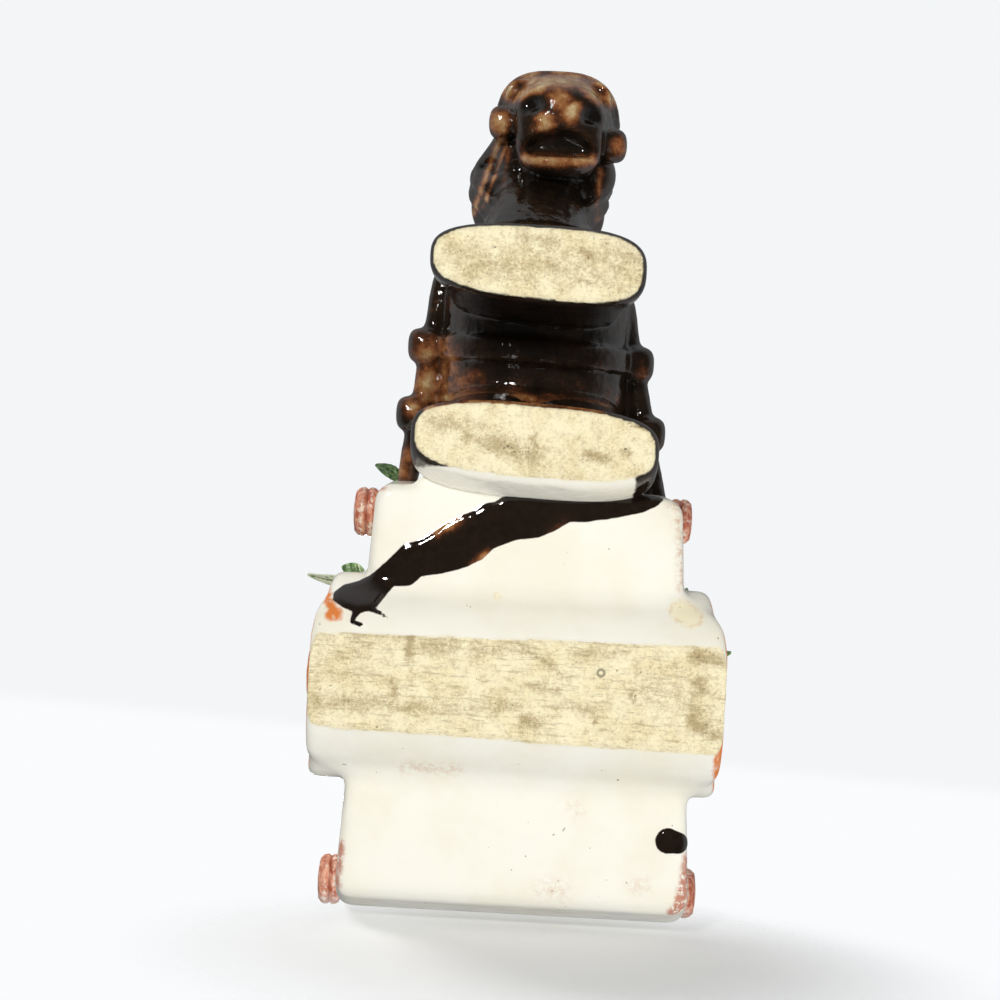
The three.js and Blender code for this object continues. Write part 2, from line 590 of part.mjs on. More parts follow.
// Mane: a cropped crest on top of the neck, from the collar to the poll.
const maneStations = Array.from({ length: 7 }, (_, k) => {
  const along = collarAt + 0.3 + ((neckEnd - 0.5 - collarAt - 0.3) * k) / 6;
  const section = smooth(neckStations, along);
  const up = section.deep + MANE_RISE * 0.3;
  return {
    x: section.x,
    f: section.f + up * Math.cos(section.tilt * RAD),
    z: section.z + up * Math.sin(section.tilt * RAD),
    wide: MANE_WIDTH / 2,
    deep: MANE_RISE * (0.75 + 0.25 * Math.sin((Math.PI * k) / 6)),
    tilt: section.tilt,
    power: 2.2,
  };
});
const mane = cut(member(maneStations, 10, 7), neckRoom, headRoom, skin(collarRing, true));

// Leg blocks, from the flat foot up into the belly
function legBlock(foot, width, length, lean) {
  const [half, deep] = [width / 2, length / 2];
  const inside = TRUNK_WIDTH * 0.45;
  const rows = [
    [0, half - FOOT_EDGE, deep - FOOT_EDGE, 0], [FOOT_EDGE, half, deep, 0],
    [BELLY_HEIGHT * 0.35, half * 0.98, deep, 0],
    [BELLY_HEIGHT * 0.8, (half * 0.9 + inside) / 2, deep * 1.12, lean * 0.5],
    [BELLY_HEIGHT + TRUNK_HEIGHT / 7, inside, deep * (0.15 + 0.85 * LEG_SPREAD), lean],
    [BELLY_HEIGHT + TRUNK_HEIGHT / 4, inside * 0.93, deep * LEG_SPREAD, lean],
  ];
  const rings = rows.map(([z, wide, long, move]) => {
    return sectionRing({ f: foot + move, z, wide, deep: long, tilt: 0, power: 3 }, 32);
  });
  const cleft = new THREE.Shape();
  const [gap, top] = [width * 0.1, BELLY_HEIGHT * 0.9];
  cleft.moveTo(-gap, FOOT_EDGE * 4).lineTo(gap, FOOT_EDGE * 4);
  cleft.absarc(0, top - gap, gap, 0, Math.PI);
  const turn = new THREE.Matrix4().makeBasis(at(1, 0, 0), at(0, 0, 1), at(0, 1, 0));
  const slot = new THREE.ExtrudeGeometry(cleft, { depth: length, bevelEnabled: false, curveSegments: 8 });
  const front = welded(slot.applyMatrix4(turn)).translate(0, -(foot + deep - CLEFT_DEPTH), 0);
  return cut(skin(rings), trunkRoom, front, boxRoom);
}

// Straps round the trunk, from one angle to another. The angle runs from +X over the back.
function trunkStrap(f, width, from, to, thickness) {
  const lay = (across, along, grow) => {
    const section = trunkSection(f + width * (across - 0.5));
    return onSection(section, (from + (to - from) * along) * RAD, grow);
  };
  return strap(lay, Math.ceil(Math.abs(to - from) / 12), thickness);
}

// Shafts and the tug loops that carry them
function shaftPoint(f) {
  const [rear, front] = [BOX_AHEAD, FRONT_FOOT + 2];
  const share = (f - rear) / (front - rear);
  const side = TRUNK_WIDTH / 2 + SHAFT_SPREAD + (SHAFT_CLOSE - SHAFT_SPREAD) * share;
  return at(side, f, SHAFT_HEIGHT - SHAFT_RADIUS * (1 - share));
}

const shaftEnds = [shaftPoint(BOX_AHEAD), shaftPoint(FRONT_FOOT + 2)];
const shaftCore = rod(shaftEnds, SHAFT_RADIUS, 10, 3);
const shaftRoom = rod(shaftEnds, SHAFT_RADIUS + JOINT_GAP, 10, 3);
const rightShaft = cut(shaftCore, trunkRoom, boxRoom);

function tug(f) {
  const size = SHAFT_RADIUS + JOINT_GAP + TUG_WALL;
  return cut(ellipsoid(shaftPoint(f), size, TUG_LENGTH / 2, size * 1.25, 12), shaftRoom, trunkRoom);
}

const frontTug = tug(FRONT_TUG);
const rearTug = tug(REAR_TUG);
const tugRoom = (f) => {
  const size = SHAFT_RADIUS + TUG_WALL + 2 * JOINT_GAP;
  return ellipsoid(shaftPoint(f), size, TUG_LENGTH / 2 + JOINT_GAP, size * 1.25, 12);
};
const keepClear = [tugRoom(FRONT_TUG), tugRoom(REAR_TUG), shaftRoom];
const bothSides = keepClear.flatMap((room) => [room, mirrored(room)]);
const laid = (geometry) => cut(geometry, ...bothSides);

const saddlePad = trunkStrap(FRONT_TUG, STRAP_WIDTH * 1.7, 58, 122, STRAP_THICKNESS * 1.5);
const rightTugStrap = laid(trunkStrap(FRONT_TUG, STRAP_WIDTH, -4, 57, STRAP_THICKNESS));
const bellyBand = laid(trunkStrap(FRONT_TUG, STRAP_WIDTH, 184, 356, STRAP_THICKNESS));
const hipStrap = laid(trunkStrap(REAR_TUG, STRAP_WIDTH, -4, 184, STRAP_THICKNESS));

// Bridle
function headStrap(fromDrop, toDrop, from, to) {
  const lay = (across, along, grow) => {
    return onHead(fromDrop + (toDrop - fromDrop) * across, (from + (to - from) * along) * RAD, grow);
  };
  return placed(strap(lay, Math.ceil(Math.abs(to - from) / 13), BRIDLE_THICKNESS));
}

function cheekStrap(from, to, angle) {
  const lay = (across, along, grow) => {
    return onHead(from + (to - from) * along, (angle - 7 + 14 * across) * RAD, grow);
  };
  return placed(strap(lay, 6, BRIDLE_THICKNESS));
}

const bitHeight = muzzleEnd + HEAD_LENGTH * 0.24;
const bitDrop = (headEnd - 3) / headEnd;
const bitForward = muzzleMiddle - 0.6;
function bitRing(side) {
  const half = BIT_THICKNESS / 2;
  const face = BIT_RADIUS * 0.73;
  const profile = [[0, -half], [face, -half], [BIT_RADIUS, 0], [face, half], [0, half]];
  const outline = profile.map(([r, h]) => new THREE.Vector2(r, h));
  const disc = welded(new THREE.LatheGeometry(outline, 14).rotateZ(-Math.PI / 2));
  const spot = at(side * (MUZZLE_WIDTH / 2 + half), bitForward, bitHeight);
  return cut(placed(disc.translate(spot.x, spot.y, spot.z)), headRoom);
}

function bitRoom(side) {
  const spot = at(side * (MUZZLE_WIDTH + BIT_THICKNESS) / 2, bitForward, bitHeight);
  const [thick, round] = [BIT_THICKNESS / 2 + JOINT_GAP, BIT_RADIUS + JOINT_GAP];
  return placed(ellipsoid(spot, thick * 1.3, round * 1.08, round * 1.08, 16));
}

const bitRooms = [bitRoom(-1), bitRoom(1)];
const leftBit = bitRing(-1);
const rightBit = bitRing(1);
const noseband = cut(headStrap(bitDrop - 0.05, bitDrop + 0.03, 14, 166), ...bitRooms);
const browband = headStrap(0.26, 0.32, 14, 166);
const rightCheek = cut(cheekStrap(0.29, bitDrop, 0), ...bitRooms);
const leftCheek = cut(cheekStrap(0.29, bitDrop, 180), ...bitRooms);

// Reins, from the bit rings back to the collar
function rein(side) {
  const spot = at(side * (MUZZLE_WIDTH / 2 + BIT_THICKNESS * 0.6), bitForward, bitHeight);
  const start = spot.applyMatrix4(headPlace);
  const outside = JOINT_GAP + COLLAR_THICKNESS * 0.5;
  const end = onSection(smooth(neckStations, collarAt), side > 0 ? 0 : Math.PI, outside);
  const middle = start.clone().lerp(end, 0.5).add(at(side * 0.9, 0, -0.4));
  const strand = rod([start, middle, end], REIN_RADIUS, 6, 6);
  const collarRoom = skin(collarRows.map(([along, rise]) => {
    const section = smooth(neckStations, collarAt + along * 1.08);
    return sectionRing(section, 22, rise > 0 ? 2 * JOINT_GAP + COLLAR_THICKNESS * rise : 0);
  }), true);
  return cut(strand, headRoom, neckRoom, collarRoom, bitRooms[side > 0 ? 1 : 0]);
}

// Tail: a short dock between the rump and the front of the cart
const tailRows = [[0, 0.147, 0.47], [0, 0.069, 0.414], [0.014, 0.035, 0.32], [0.028, 0.028, 0.214]];
const tailPath = tailRows.map(([side, along, up]) => {
  return at(TRUNK_LENGTH * side, RUMP + TRUNK_LENGTH * along, TRUNK_MIDDLE + TRUNK_HEIGHT * up);
});
const tail = cut(rod(tailPath, TAIL_RADIUS, 8, 7), trunkRoom, boxRoom);

// Colours of the fired ware
const BROWN = 0x2a1a14;
const WHITE = 0xf0e8d8;
const RUST = 0xa8584a;
const ORANGE = 0xd9803a;
const GREEN = 0x6f8a52;
const TAN = 0x8a6a44;

const planter = new THREE.Group();
planter.name = 'donkey_cart_planter';
function piece(name, geometry, color, roughness = 0.25) {
  const shell = geometry.clone();
  shell.computeVertexNormals();
  const mesh = new THREE.Mesh(shell, new THREE.MeshStandardMaterial({ color, roughness }));
  mesh.name = name;
  planter.add(mesh);
}

function pair(stem, geometry, color) {
  piece(`right_${stem}`, geometry, color);
  piece(`left_${stem}`, mirrored(geometry), color);
}

piece('trunk', trunk, BROWN);
piece('neck', neck, BROWN);
piece('head', head, BROWN);
piece('right_ear', ear(1), BROWN);
piece('left_ear', ear(-1), BROWN);
piece('mane', mane, BROWN);
piece('tail', tail, BROWN);
piece('front_leg_block', legBlock(FRONT_FOOT, FRONT_FOOT_WIDTH, FRONT_FOOT_LENGTH, 0), BROWN);
piece('hind_leg_block', legBlock(HIND_FOOT, HIND_FOOT_WIDTH, HIND_FOOT_LENGTH, 2), BROWN);
piece('collar', collar, BROWN);
piece('saddle_pad', saddlePad, BROWN);
pair('tug_strap', rightTugStrap, BROWN);
piece('belly_band', bellyBand, BROWN);
piece('hip_strap', hipStrap, BROWN);
pair('shaft', rightShaft, BROWN);
pair('front_tug', frontTug, BROWN);
pair('rear_tug', rearTug, BROWN);
piece('browband', browband, TAN);
piece('noseband', noseband, TAN);
piece('right_cheek_strap', rightCheek, TAN);
piece('left_cheek_strap', leftCheek, TAN);
piece('right_bit_ring', rightBit, BROWN);
piece('left_bit_ring', leftBit, BROWN);
piece('right_rein', rein(1), BROWN);
piece('left_rein', rein(-1), BROWN);
piece('cart_box', boxBody, WHITE);
piece('wheel_block', wheelBlock, WHITE);
pair('wheel', rightWheel, WHITE);
pair('hub', rightHub, ORANGE);
pair('rail', rail, RUST);
pair('front_scroll', frontScroll, RUST);
pair('rear_scroll', rearScroll, RUST);
pair('flower', rightFlower, ORANGE);
for (const [name, geometry] of Object.entries(leaves)) {
  piece(name, geometry, GREEN);
}

// The middle of the whole length goes to y = 0.
const reach = new THREE.Box3().setFromObject(planter);
planter.position.y = -(reach.min.y + reach.max.y) / 2;
planter.updateMatrixWorld(true);

export default planter;
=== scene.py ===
"""Donkey cart planter in glazed earthenware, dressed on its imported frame.

Lengths are millimetres until a mesh is made. A place is x to the side, f ahead of the wheel axle and z above
the table that the feet stand on. Pixels are those of the 1000 by 1000 picture, which looks up at the feet.
"""

import math

import bpy
import numpy as np
from mathutils import Matrix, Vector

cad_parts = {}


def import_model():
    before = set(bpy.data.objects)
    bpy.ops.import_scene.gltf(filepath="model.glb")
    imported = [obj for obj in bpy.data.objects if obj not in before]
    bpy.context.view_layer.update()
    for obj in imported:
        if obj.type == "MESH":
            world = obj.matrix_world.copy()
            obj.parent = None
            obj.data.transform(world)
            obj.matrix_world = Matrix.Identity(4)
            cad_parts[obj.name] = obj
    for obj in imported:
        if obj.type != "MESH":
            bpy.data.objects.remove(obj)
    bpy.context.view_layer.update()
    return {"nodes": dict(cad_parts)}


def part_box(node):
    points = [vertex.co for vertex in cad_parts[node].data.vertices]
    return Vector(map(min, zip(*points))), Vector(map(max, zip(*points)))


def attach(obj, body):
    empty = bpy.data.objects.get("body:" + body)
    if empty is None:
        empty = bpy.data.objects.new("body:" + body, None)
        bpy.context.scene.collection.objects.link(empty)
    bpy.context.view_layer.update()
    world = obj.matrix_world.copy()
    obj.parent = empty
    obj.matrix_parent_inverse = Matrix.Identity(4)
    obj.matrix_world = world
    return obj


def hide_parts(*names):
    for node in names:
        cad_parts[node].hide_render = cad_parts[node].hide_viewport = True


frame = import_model()
scene = bpy.context.scene
scene.view_settings.view_transform = "Standard"

MM = 0.001
TURN = 2 * math.pi
SIDES = (-1, 1)


def node_box(node):
    """Lowest and highest corner of a CAD node, in millimetres of the part's frame."""
    low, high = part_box(node)
    return np.array(low) / MM, np.array(high) / MM


def middle_y(node):
    """Middle of a CAD node along the cart."""
    return sum(corner[1] for corner in node_box(node)) / 2


AXLE_Y = middle_y("wheel_block")

# Picture
PIXEL = 0.155  # millimetres of the foot plane that one pixel covers
CAMERA_AWAY = 400.0
CAMERA_ROLL = math.radians(3.2)
PICTURE_SIZE = 1000
PICTURE_MIDDLE = np.array([-4.24, 3.35, 0.0])
PICTURE_RIGHT = np.array([math.cos(CAMERA_ROLL), -math.sin(CAMERA_ROLL), 0.0])
PICTURE_UP = np.array([-math.sin(CAMERA_ROLL), -math.cos(CAMERA_ROLL), 0.0])
PICTURE_BACK = np.cross(PICTURE_RIGHT, PICTURE_UP)

# Donkey
RUMP = 33.2
TRUNK_LENGTH = 43.5
TRUNK_WIDTH = 33.0
TRUNK_HEIGHT = 28.0
TRUNK_FULLNESS = 2.8
WAIST = 0.05
BELLY_HEIGHT = 22.0
TRUNK_MIDDLE = BELLY_HEIGHT + TRUNK_HEIGHT / 2
CHEST = RUMP + TRUNK_LENGTH
FRONT_FOOT = CHEST - 10.8
HIND_FOOT = RUMP + 5.5
FRONT_FOOT_SIZE = (33.9, 12.3)
HIND_FOOT_SIZE = (38.8, 12.2)
FOOT_EDGE = 1.6
LEG_SPREAD = 1.35
CLEFT_DEPTH = 2.6
NECK_START = CHEST - 10.0
NECK_FOOT = TRUNK_MIDDLE + TRUNK_HEIGHT / 7
NECK_REACH = 24.0
NECK_RISE = 25.0
NECK_WIDTH = 22.0
NECK_DEPTH = 21.0
NECK_FULL = 11.9
COLLAR_PLACE = 1.55
COLLAR_THICKNESS = 2.2
HEAD_LENGTH = 29.0
HEAD_WIDTH = 20.0
HEAD_DEPTH = 20.5
MUZZLE_WIDTH = 15.4
MUZZLE_DEPTH = 16.0
HEAD_MIDDLE = NECK_START + NECK_REACH + HEAD_DEPTH / 6
CROWN = NECK_FOOT + NECK_RISE + 6.0
CROWN_RISE = 0.75
MUZZLE_END = CROWN - HEAD_LENGTH
BIT_HEIGHT = MUZZLE_END + HEAD_LENGTH * 0.24
HEAD_SHIFT = 2.1
HEAD_AHEAD = 1.2
HEAD_TURN = math.radians(-2)
EAR_LENGTH = 19.0
EAR_WIDTH = 7.2
EAR_CUP = 2.0
EAR_SPLAY = math.radians(15)
EAR_LEAN = math.radians(16)
MANE_WIDTH = 3.4
MANE_RISE = 2.6
MANE_TUFTS = 9
DONKEY_SHIFT = 0.3  # to one side, as it was luted to the cart
DONKEY_SKEW = 0.03

# Swellings of the face: reach, then push, along x outwards, f and z
NOSE_TIP = (6.0, 4.0, 6.0), (0, 1.0, -0.9)
NOSTRIL_RIM = (2.6, 2.2, 2.6), (0.6, 0.3, -0.6)
NOSTRIL_HOLE = (2.1, 1.5, 2.4), (-0.5, -0.3, 3.0)
EYE_SOCKET = (3.2, 3.2, 2.6), (-0.9, -0.7, 0)
EYE_BROW = (3.6, 3.6, 1.8), (0.5, 0.6, 0)
LIP_SWELL = (6.6, 2.4, 3.5), (0, -0.5, -0.7)
CHIN_SWELL = (6.0, 1.0, 3.5), (0, 0.2, 0.2)
MOUTH_HALF = (5.8, 2.1)
MOUTH_DROOP = 0.03
MOUTH_DEPTH = 4.0

# Harness
SHAFT_RADIUS = 1.8
SHAFT_HEIGHT = TRUNK_MIDDLE - TRUNK_HEIGHT / 14
SHAFT_REAR = 31.0
SHAFT_FRONT = FRONT_FOOT + 2
SHAFT_OUT = {1: (5.0, -3.0), -1: (3.7, -0.6)}  # outside the barrel at the cart, and at the chest
TUG_OUT = {1: 0.6, -1: 1.0}
STRAP_WIDTH = 4.0
STRAP_THICKNESS = 1.2
BRIDLE_THICKNESS = 1.0
FRONT_TUG = AXLE_Y - middle_y("belly_band")
REAR_TUG = AXLE_Y - middle_y("hip_strap")
REIN_STRANDS = [(0.2, -0.25, 0.9), (0.52, 0.15, 0.85), (0.35, -1.1, 1.3)]  # turn under the neck, rise, radius

# Cart
BOX_LENGTH = 68.0
BOX_WIDTH = 50.8
BOX_TAPER = 3.2
BOX_HEIGHT = 37.0
BOX_CLEARANCE = 6.8
BOX_FLARE = 1.0
BOX_CORNER = 2.6
BOX_EDGE = 1.6
BOX_FLOOR = 4.5
BOX_WALL = 4.0
BOX_COVE = 4.0
BOX_AHEAD = 31.0
BOX_MIDDLE = BOX_AHEAD - BOX_LENGTH / 2
BOX_SHIFT = 0.6
BOX_SPREAD = 0.025
HITCH_HALF = 17.6
HITCH_TOP = 27.0
RIGHT_SPLAY = 0.018
TAIL_CHAMFER = 3.4
RIM_HEIGHT = BOX_CLEARANCE + BOX_HEIGHT
RAIL_OUT = {1: 0.55, -1: -0.75}
WHEEL_RADIUS = 16.5
WHEEL_FOOT = 15.0
AXLE_HEIGHT = math.sqrt(WHEEL_RADIUS**2 - (WHEEL_FOOT / 2) ** 2)
WHEEL_FACE = 32.5
WHEEL_BACK = 23.9
WHEEL_RIM = 3.0
WHEEL_RELIEF = 1.2
WHEEL_EDGE = 1.3
AXLE_TILT = 0.011
AXLE_LIFT = 0.13
CORNER_DRAW = 2.4
SPOKE_COUNT = 8
SPOKE_WIDTH = 2.6
HUB_RADIUS = 4.0
HUB_RISE = 0.5
PETAL_COUNT = 5
LEAF_WIDTH = 3.0
LEAF_THICKNESS = 1.1
SCROLL_MOVE = {  # outwards, to the rear, and the share of its radius
    "left_front_scroll": (1.2, 1.3, 1.02), "left_rear_scroll": (0.8, 1.4, 0.87),
    "right_front_scroll": (0.8, 0, 0.93), "right_rear_scroll": (1.9, 0.5, 0.87),
}
LEAVES = {  # stalk and tip as shares across the CAD leaf's box, and the way that its front faces
    "left_front_leaf": ((0.98, 0.62, 0.35), (0.0, 0.55, 0.75), (-0.4, 0.8, -0.6)),
    "left_low_leaf": ((1.0, 0.5, 0.3), (-0.3, 0.4, 0.4), (-0.2, 0.3, -0.9)),
    "left_rear_leaf": ((0.8, 0.0, 0.3), (0.3, 1.0, 0.7), (-1, 0, 0.2)),
    "right_front_leaf": ((0.2, 1.0, 0.8), (0.7, 0.0, 0.2), (1, 0, 0.2)),
    "right_curled_leaf": ((0.02, -0.3, 0.75), (1.0, -0.8, 0.2), (0.4, 0.4, -0.8)),
    "right_rear_leaf": ((0.2, 0.0, 0.4), (0.7, 1.0, 0.6), (1, 0, 0.2)),
    "corner_leaf": ((0.75, 1.2, 0.3), (0.16, 0.5, 0.7), (0.3, -0.6, -0.8)),
}
LEAF_PALE = {"left_front_leaf": 0.25, "left_low_leaf": 0.14, "left_rear_leaf": 0.1, "corner_leaf": -0.1}

# Face, as pixels of the picture
NOSE = (558, 110)
NOSTRILS = {-1: (532, 104), 1: (591, 115)}
MOUTH = (559, 143)
LOWER_LIP = (557, 159)
CHIN = (556, 175)
KNOBS = {-1: (502, 123), 1: (614, 146)}

# Brown run under the cart as an outline, and strokes with a half width, in pixels of the picture
RUN_OUTLINE = [
    (664, 500), (652, 486), (643, 489), (606, 494), (578, 498), (555, 497), (530, 495), (512, 495),
    (502, 497), (496, 502), (484, 504), (474, 511), (462, 515), (448, 522), (435, 531), (420, 540),
    (404, 544), (394, 554), (384, 563), (369, 576), (358, 581), (343, 585), (334, 592), (333, 600),
    (343, 608), (352, 612), (364, 612), (376, 609), (384, 598), (393, 587), (412, 586), (422, 576),
    (440, 574), (453, 571), (468, 566), (482, 560), (493, 549), (517, 540), (540, 537), (555, 531),
    (570, 522), (591, 522), (619, 517), (642, 513), (657, 507),
]
RUN_DRIP = [(358, 609, 5), (354, 616, 2.5), (352, 622, 2), (361, 625, 2)]
RUN_BRANCH = [(370, 609, 3), (380, 613, 1.6), (387, 618, 1)]
BROWN_SPOT = [(668, 841, 13), (677, 843, 11)]
YELLOW_SKIP = [(681, 611, 11), (692, 618, 10)]
PALE_SPOT = [(497, 595, 7), (498, 596, 7)]
EDGE_WEAR = [
    [(687, 858, 4), (685, 885, 6), (680, 905, 7), (672, 913, 5)],
    [(341, 843, 3), (338, 870, 4), (337, 895, 3)], [(372, 488, 3), (384, 489, 2)],
]
LEFT_ORANGE = [(326, 588, 3), (329, 602, 5), (334, 613, 8)]
RIGHT_ORANGE = [(722, 754, 8), (718, 778, 5)]
RING_MARK = (601, 673)
RING_RADIUS = 0.52

# Soft marks, at a pixel or from pixel to pixel, with a reach and an amount
RUN_THIN = [
    (449, 522, 16, 1.0), (437, 532, 9, 0.8), (486, 558, 10, 1.0), (475, 565, 8, 0.7), (646, 491, 9, 0.7),
    (560, 530, 16, 0.4),
]
PINK_BLUSH = [
    (674, 506, 681, 530, 5, 1.6), (681, 530, 682, 588, 5, 1.6), (404, 767, 457, 769, 6, 1.0),
    (545, 890, 560, 890, 12, 0.8), (573, 806, 577, 810, 9, 0.6), (636, 886, 644, 886, 9, 0.7),
]
GRIME = [
    (322, 640, 392, 640, 12, 0.3), (322, 654, 360, 652, 9, 0.35), (412, 633, 408, 656, 5, 0.95),
    (424, 645, 456, 647, 8, 0.65), (468, 650, 522, 652, 6, 0.5), (519, 643, 569, 679, 4, 0.6),
    (318, 672, 385, 677, 9, 0.25), (320, 702, 392, 704, 9, 0.6), (395, 708, 515, 706, 8, 0.45),
    (533, 686, 558, 690, 5, 0.7), (560, 706, 596, 710, 7, 0.4), (524, 719, 537, 726, 6, 0.9),
    (650, 690, 705, 712, 22, 0.3), (695, 656, 720, 662, 8, 0.8), (698, 682, 703, 690, 6, 1.0),
    (692, 720, 714, 734, 8, 0.85), (575, 652, 620, 654, 7, 0.4), (392, 680, 396, 700, 3, 0.9),
    (630, 694, 636, 702, 2, 1.2), (594, 722, 595, 723, 2, 1.2), (460, 262, 628, 266, 24, 0.4),
    (448, 250, 474, 252, 10, 0.45), (480, 264, 510, 268, 9, 0.6), (520, 238, 556, 243, 9, 0.65),
    (550, 262, 573, 274, 10, 0.65), (582, 251, 590, 256, 5, 1.1), (608, 247, 635, 256, 10, 0.6),
    (580, 281, 589, 282, 4, 0.8), (600, 275, 620, 288, 8, 0.45), (432, 420, 456, 428, 8, 0.7),
    (468, 424, 482, 428, 6, 0.55), (468, 438, 500, 442, 8, 0.65), (490, 442, 533, 456, 11, 0.85),
    (533, 438, 536, 446, 4, 1.0), (586, 455, 606, 458, 6, 1.0), (626, 451, 631, 454, 4, 0.8),
    (629, 424, 650, 430, 1.3, 1.5),
]
THIN_BROWN = [  # where the brown glaze lies thin and fires tan
    (430, 388, 26, 0.66), (426, 352, 18, 0.62), (412, 408, 12, 0.72), (462, 388, 28, 0.52),
    (442, 344, 14, 0.5), (510, 398, 26, 0.46), (560, 402, 28, 0.4), (600, 404, 22, 0.34),
    (403, 455, 14, 0.5), (404, 472, 12, 0.5), (446, 366, 20, 0.6), (450, 300, 22, 0.24),
    (544, 121, 13, 0.76), (572, 112, 14, 0.74), (560, 98, 16, 0.74), (500, 122, 15, 0.66),
    # The brow spots here and the brow lines below are thin glaze made paler as painted highlight, for the
    # sheen that the brow catches.
    (616, 146, 13, 0.46), (510, 92, 14, 0.76), (530, 76, 16, 0.7), (560, 70, 18, 0.66),
    (600, 78, 18, 0.7), (612, 98, 14, 0.68), (640, 368, 10, 0.42), (568, 402, 4, 0.95),
]
THIN_LINES = [
    # The second, third and fourth lines cross the brow: thin glaze with painted highlight.
    (527, 160, 590, 161, 9, 0.62), (524, 96, 548, 81, 10, 0.76), (548, 81, 576, 80, 10, 0.8),
    (576, 80, 600, 98, 10, 0.7), (500, 140, 488, 170, 4, 0.72), (488, 170, 477, 201, 4, 0.72),
    (477, 201, 474, 214, 4, 0.66), (507, 142, 495, 176, 3, 0.62), (495, 176, 483, 207, 3, 0.62),
    (508, 150, 504, 186, 4, 0.42), (600, 168, 597, 220, 4, 0.45), (470, 402, 600, 404, 9, 0.5),
    (418, 396, 452, 384, 5, 0.6), (512, 378, 528, 384, 9, 0.3), (424, 399, 500, 396, 7, 0.68),
    (500, 396, 534, 398, 6, 0.62), (578, 404, 606, 407, 7, 0.58),
]
HIND_FOOT_LINES = [(428, 409, 470, 403, 5, 0.6), (470, 403, 540, 402, 5, 0.62), (540, 402, 600, 410, 5, 0.52)]
NOSTRIL_DARK = [(*spot, 8, 0.8) for spot in NOSTRILS.values()]


def point(x, f, z):
    """Places as rows of x, y, z in the part's frame."""
    x, f, z = np.broadcast_arrays(x, f, z)
    return np.stack([x, AXLE_Y - f, z], axis=-1).astype(float)


def seen(pixels, z=BOX_CLEARANCE):
    """Places on the level z that the picture shows at these pixels: the camera's ray scaled to that depth."""
    pixels = np.asarray(pixels, float)
    size = PIXEL * (CAMERA_AWAY + z) / CAMERA_AWAY
    across = (pixels[..., :1] - PICTURE_SIZE / 2) * size
    upward = (PICTURE_SIZE / 2 - pixels[..., 1:2]) * size
    spot = PICTURE_MIDDLE + across * PICTURE_RIGHT + upward * PICTURE_UP
    spot[..., 2] = z
    return spot


def in_picture(points):
    """Pixels at which the picture shows these places, and the millimetres that a pixel covers there."""
    size = PIXEL * (CAMERA_AWAY + points[:, 2:]) / CAMERA_AWAY
    away = points - PICTURE_MIDDLE
    spots = np.column_stack([away @ PICTURE_RIGHT, -(away @ PICTURE_UP)])
    return spots / size + PICTURE_SIZE / 2, size[:, 0]


def bell(away):
    """Soft fall from 1 at nought: e to the power of minus the square."""
    return np.exp(-(away**2))


def around(count):
    return np.linspace(0, TURN, count, endpoint=False)


def unit(vectors):
    return vectors / np.linalg.norm(vectors, axis=-1, keepdims=True)


def turned(points, axis, angle):
    """Points turned about one axis of the frame, 0 for x, 1 for y and 2 for z."""
    a, b = (axis + 1) % 3, (axis + 2) % 3
    c, s = math.cos(angle), math.sin(angle)
    found = points.copy()
    found[..., a] = c * points[..., a] - s * points[..., b]
    found[..., b] = s * points[..., a] + c * points[..., b]
    return found


def rows(*columns):
    """Section rows: x, f, z, half width, half depth, tilt in degrees and power."""
    return np.stack(np.broadcast_arrays(*columns), axis=-1).astype(float)


def through(stations, place):
    """Cubic through every station, whose slope at each is half the step between its neighbours."""
    stations = np.asarray(stations, float)
    last = len(stations) - 1
    place = np.clip(np.asarray(place, float), 0, last)
    step = np.minimum(place.astype(int), last - 1)
    t = (place - step)[..., None]
    p, q, r, s = (stations[np.clip(step + n, 0, last)] for n in (-1, 0, 1, 2))
    m, n = (r - p) / 2, (s - q) / 2
    return q + m * t + (3 * (r - q) - 2 * m - n) * t**2 + (2 * (q - r) + m + n) * t**3


def columns_through(stations, place):
    """The same cubic, as one array for each column of the stations."""
    return np.moveaxis(through(stations, place), -1, 0)


def on_section(row, angle, grow=0.0):
    """Point of a superellipse across x and an upper axis tilted in the side view, `grow` outside it."""
    x, f, z, wide, deep, tilt, power = np.moveaxis(row, -1, 0)
    c, s = np.cos(angle), np.sin(angle)
    reach = (np.abs(c) ** power + np.abs(s) ** power) ** (-1 / power)
    up = (deep + grow) * reach * s
    tilt = np.radians(tilt)
    return point(x + (wide + grow) * reach * c, f + up * np.cos(tilt), z + up * np.sin(tilt))


def faced(points, quads, tris):
    """The surface with its faces outwards: the corners turn round where the signed volume is negative."""
    halves = np.vstack([tris, quads[:, [0, 1, 2]], quads[:, [0, 2, 3]]])
    a, b, c = (points[halves[:, k]] for k in range(3))
    if np.einsum("ij,ij->i", a, np.cross(b, c)).sum() < 0:
        return points, quads[:, ::-1], tris[:, ::-1]
    return points, quads, tris


def skin(grid, looped=False):
    """Closed surface over a grid of rings: quads between neighbours, a fan to the middle at open ends."""
    count = grid.shape[1]
    ids = np.arange(grid.shape[0] * count).reshape(grid.shape[:2])
    ring = np.roll(ids, -1, axis=1)
    quads = np.stack([ids, ring, np.roll(ring, -1, axis=0), np.roll(ids, -1, axis=0)], axis=-1)
    points = grid.reshape(-1, 3)
    if looped:
        return faced(points, quads.reshape(-1, 4), np.zeros((0, 3), int))
    first = np.stack([ring[0], ids[0], np.full(count, ids.size)], axis=-1)
    last = np.stack([ids[-1], ring[-1], np.full(count, ids.size + 1)], axis=-1)
    points = np.vstack([points, grid[0].mean(axis=0), grid[-1].mean(axis=0)])
    return faced(points, quads[:-1].reshape(-1, 4), np.vstack([first, last]))


def lofted(sections, count):
    """Closed skin over the rings of section rows."""
    return skin(on_section(sections[:, None], around(count)))


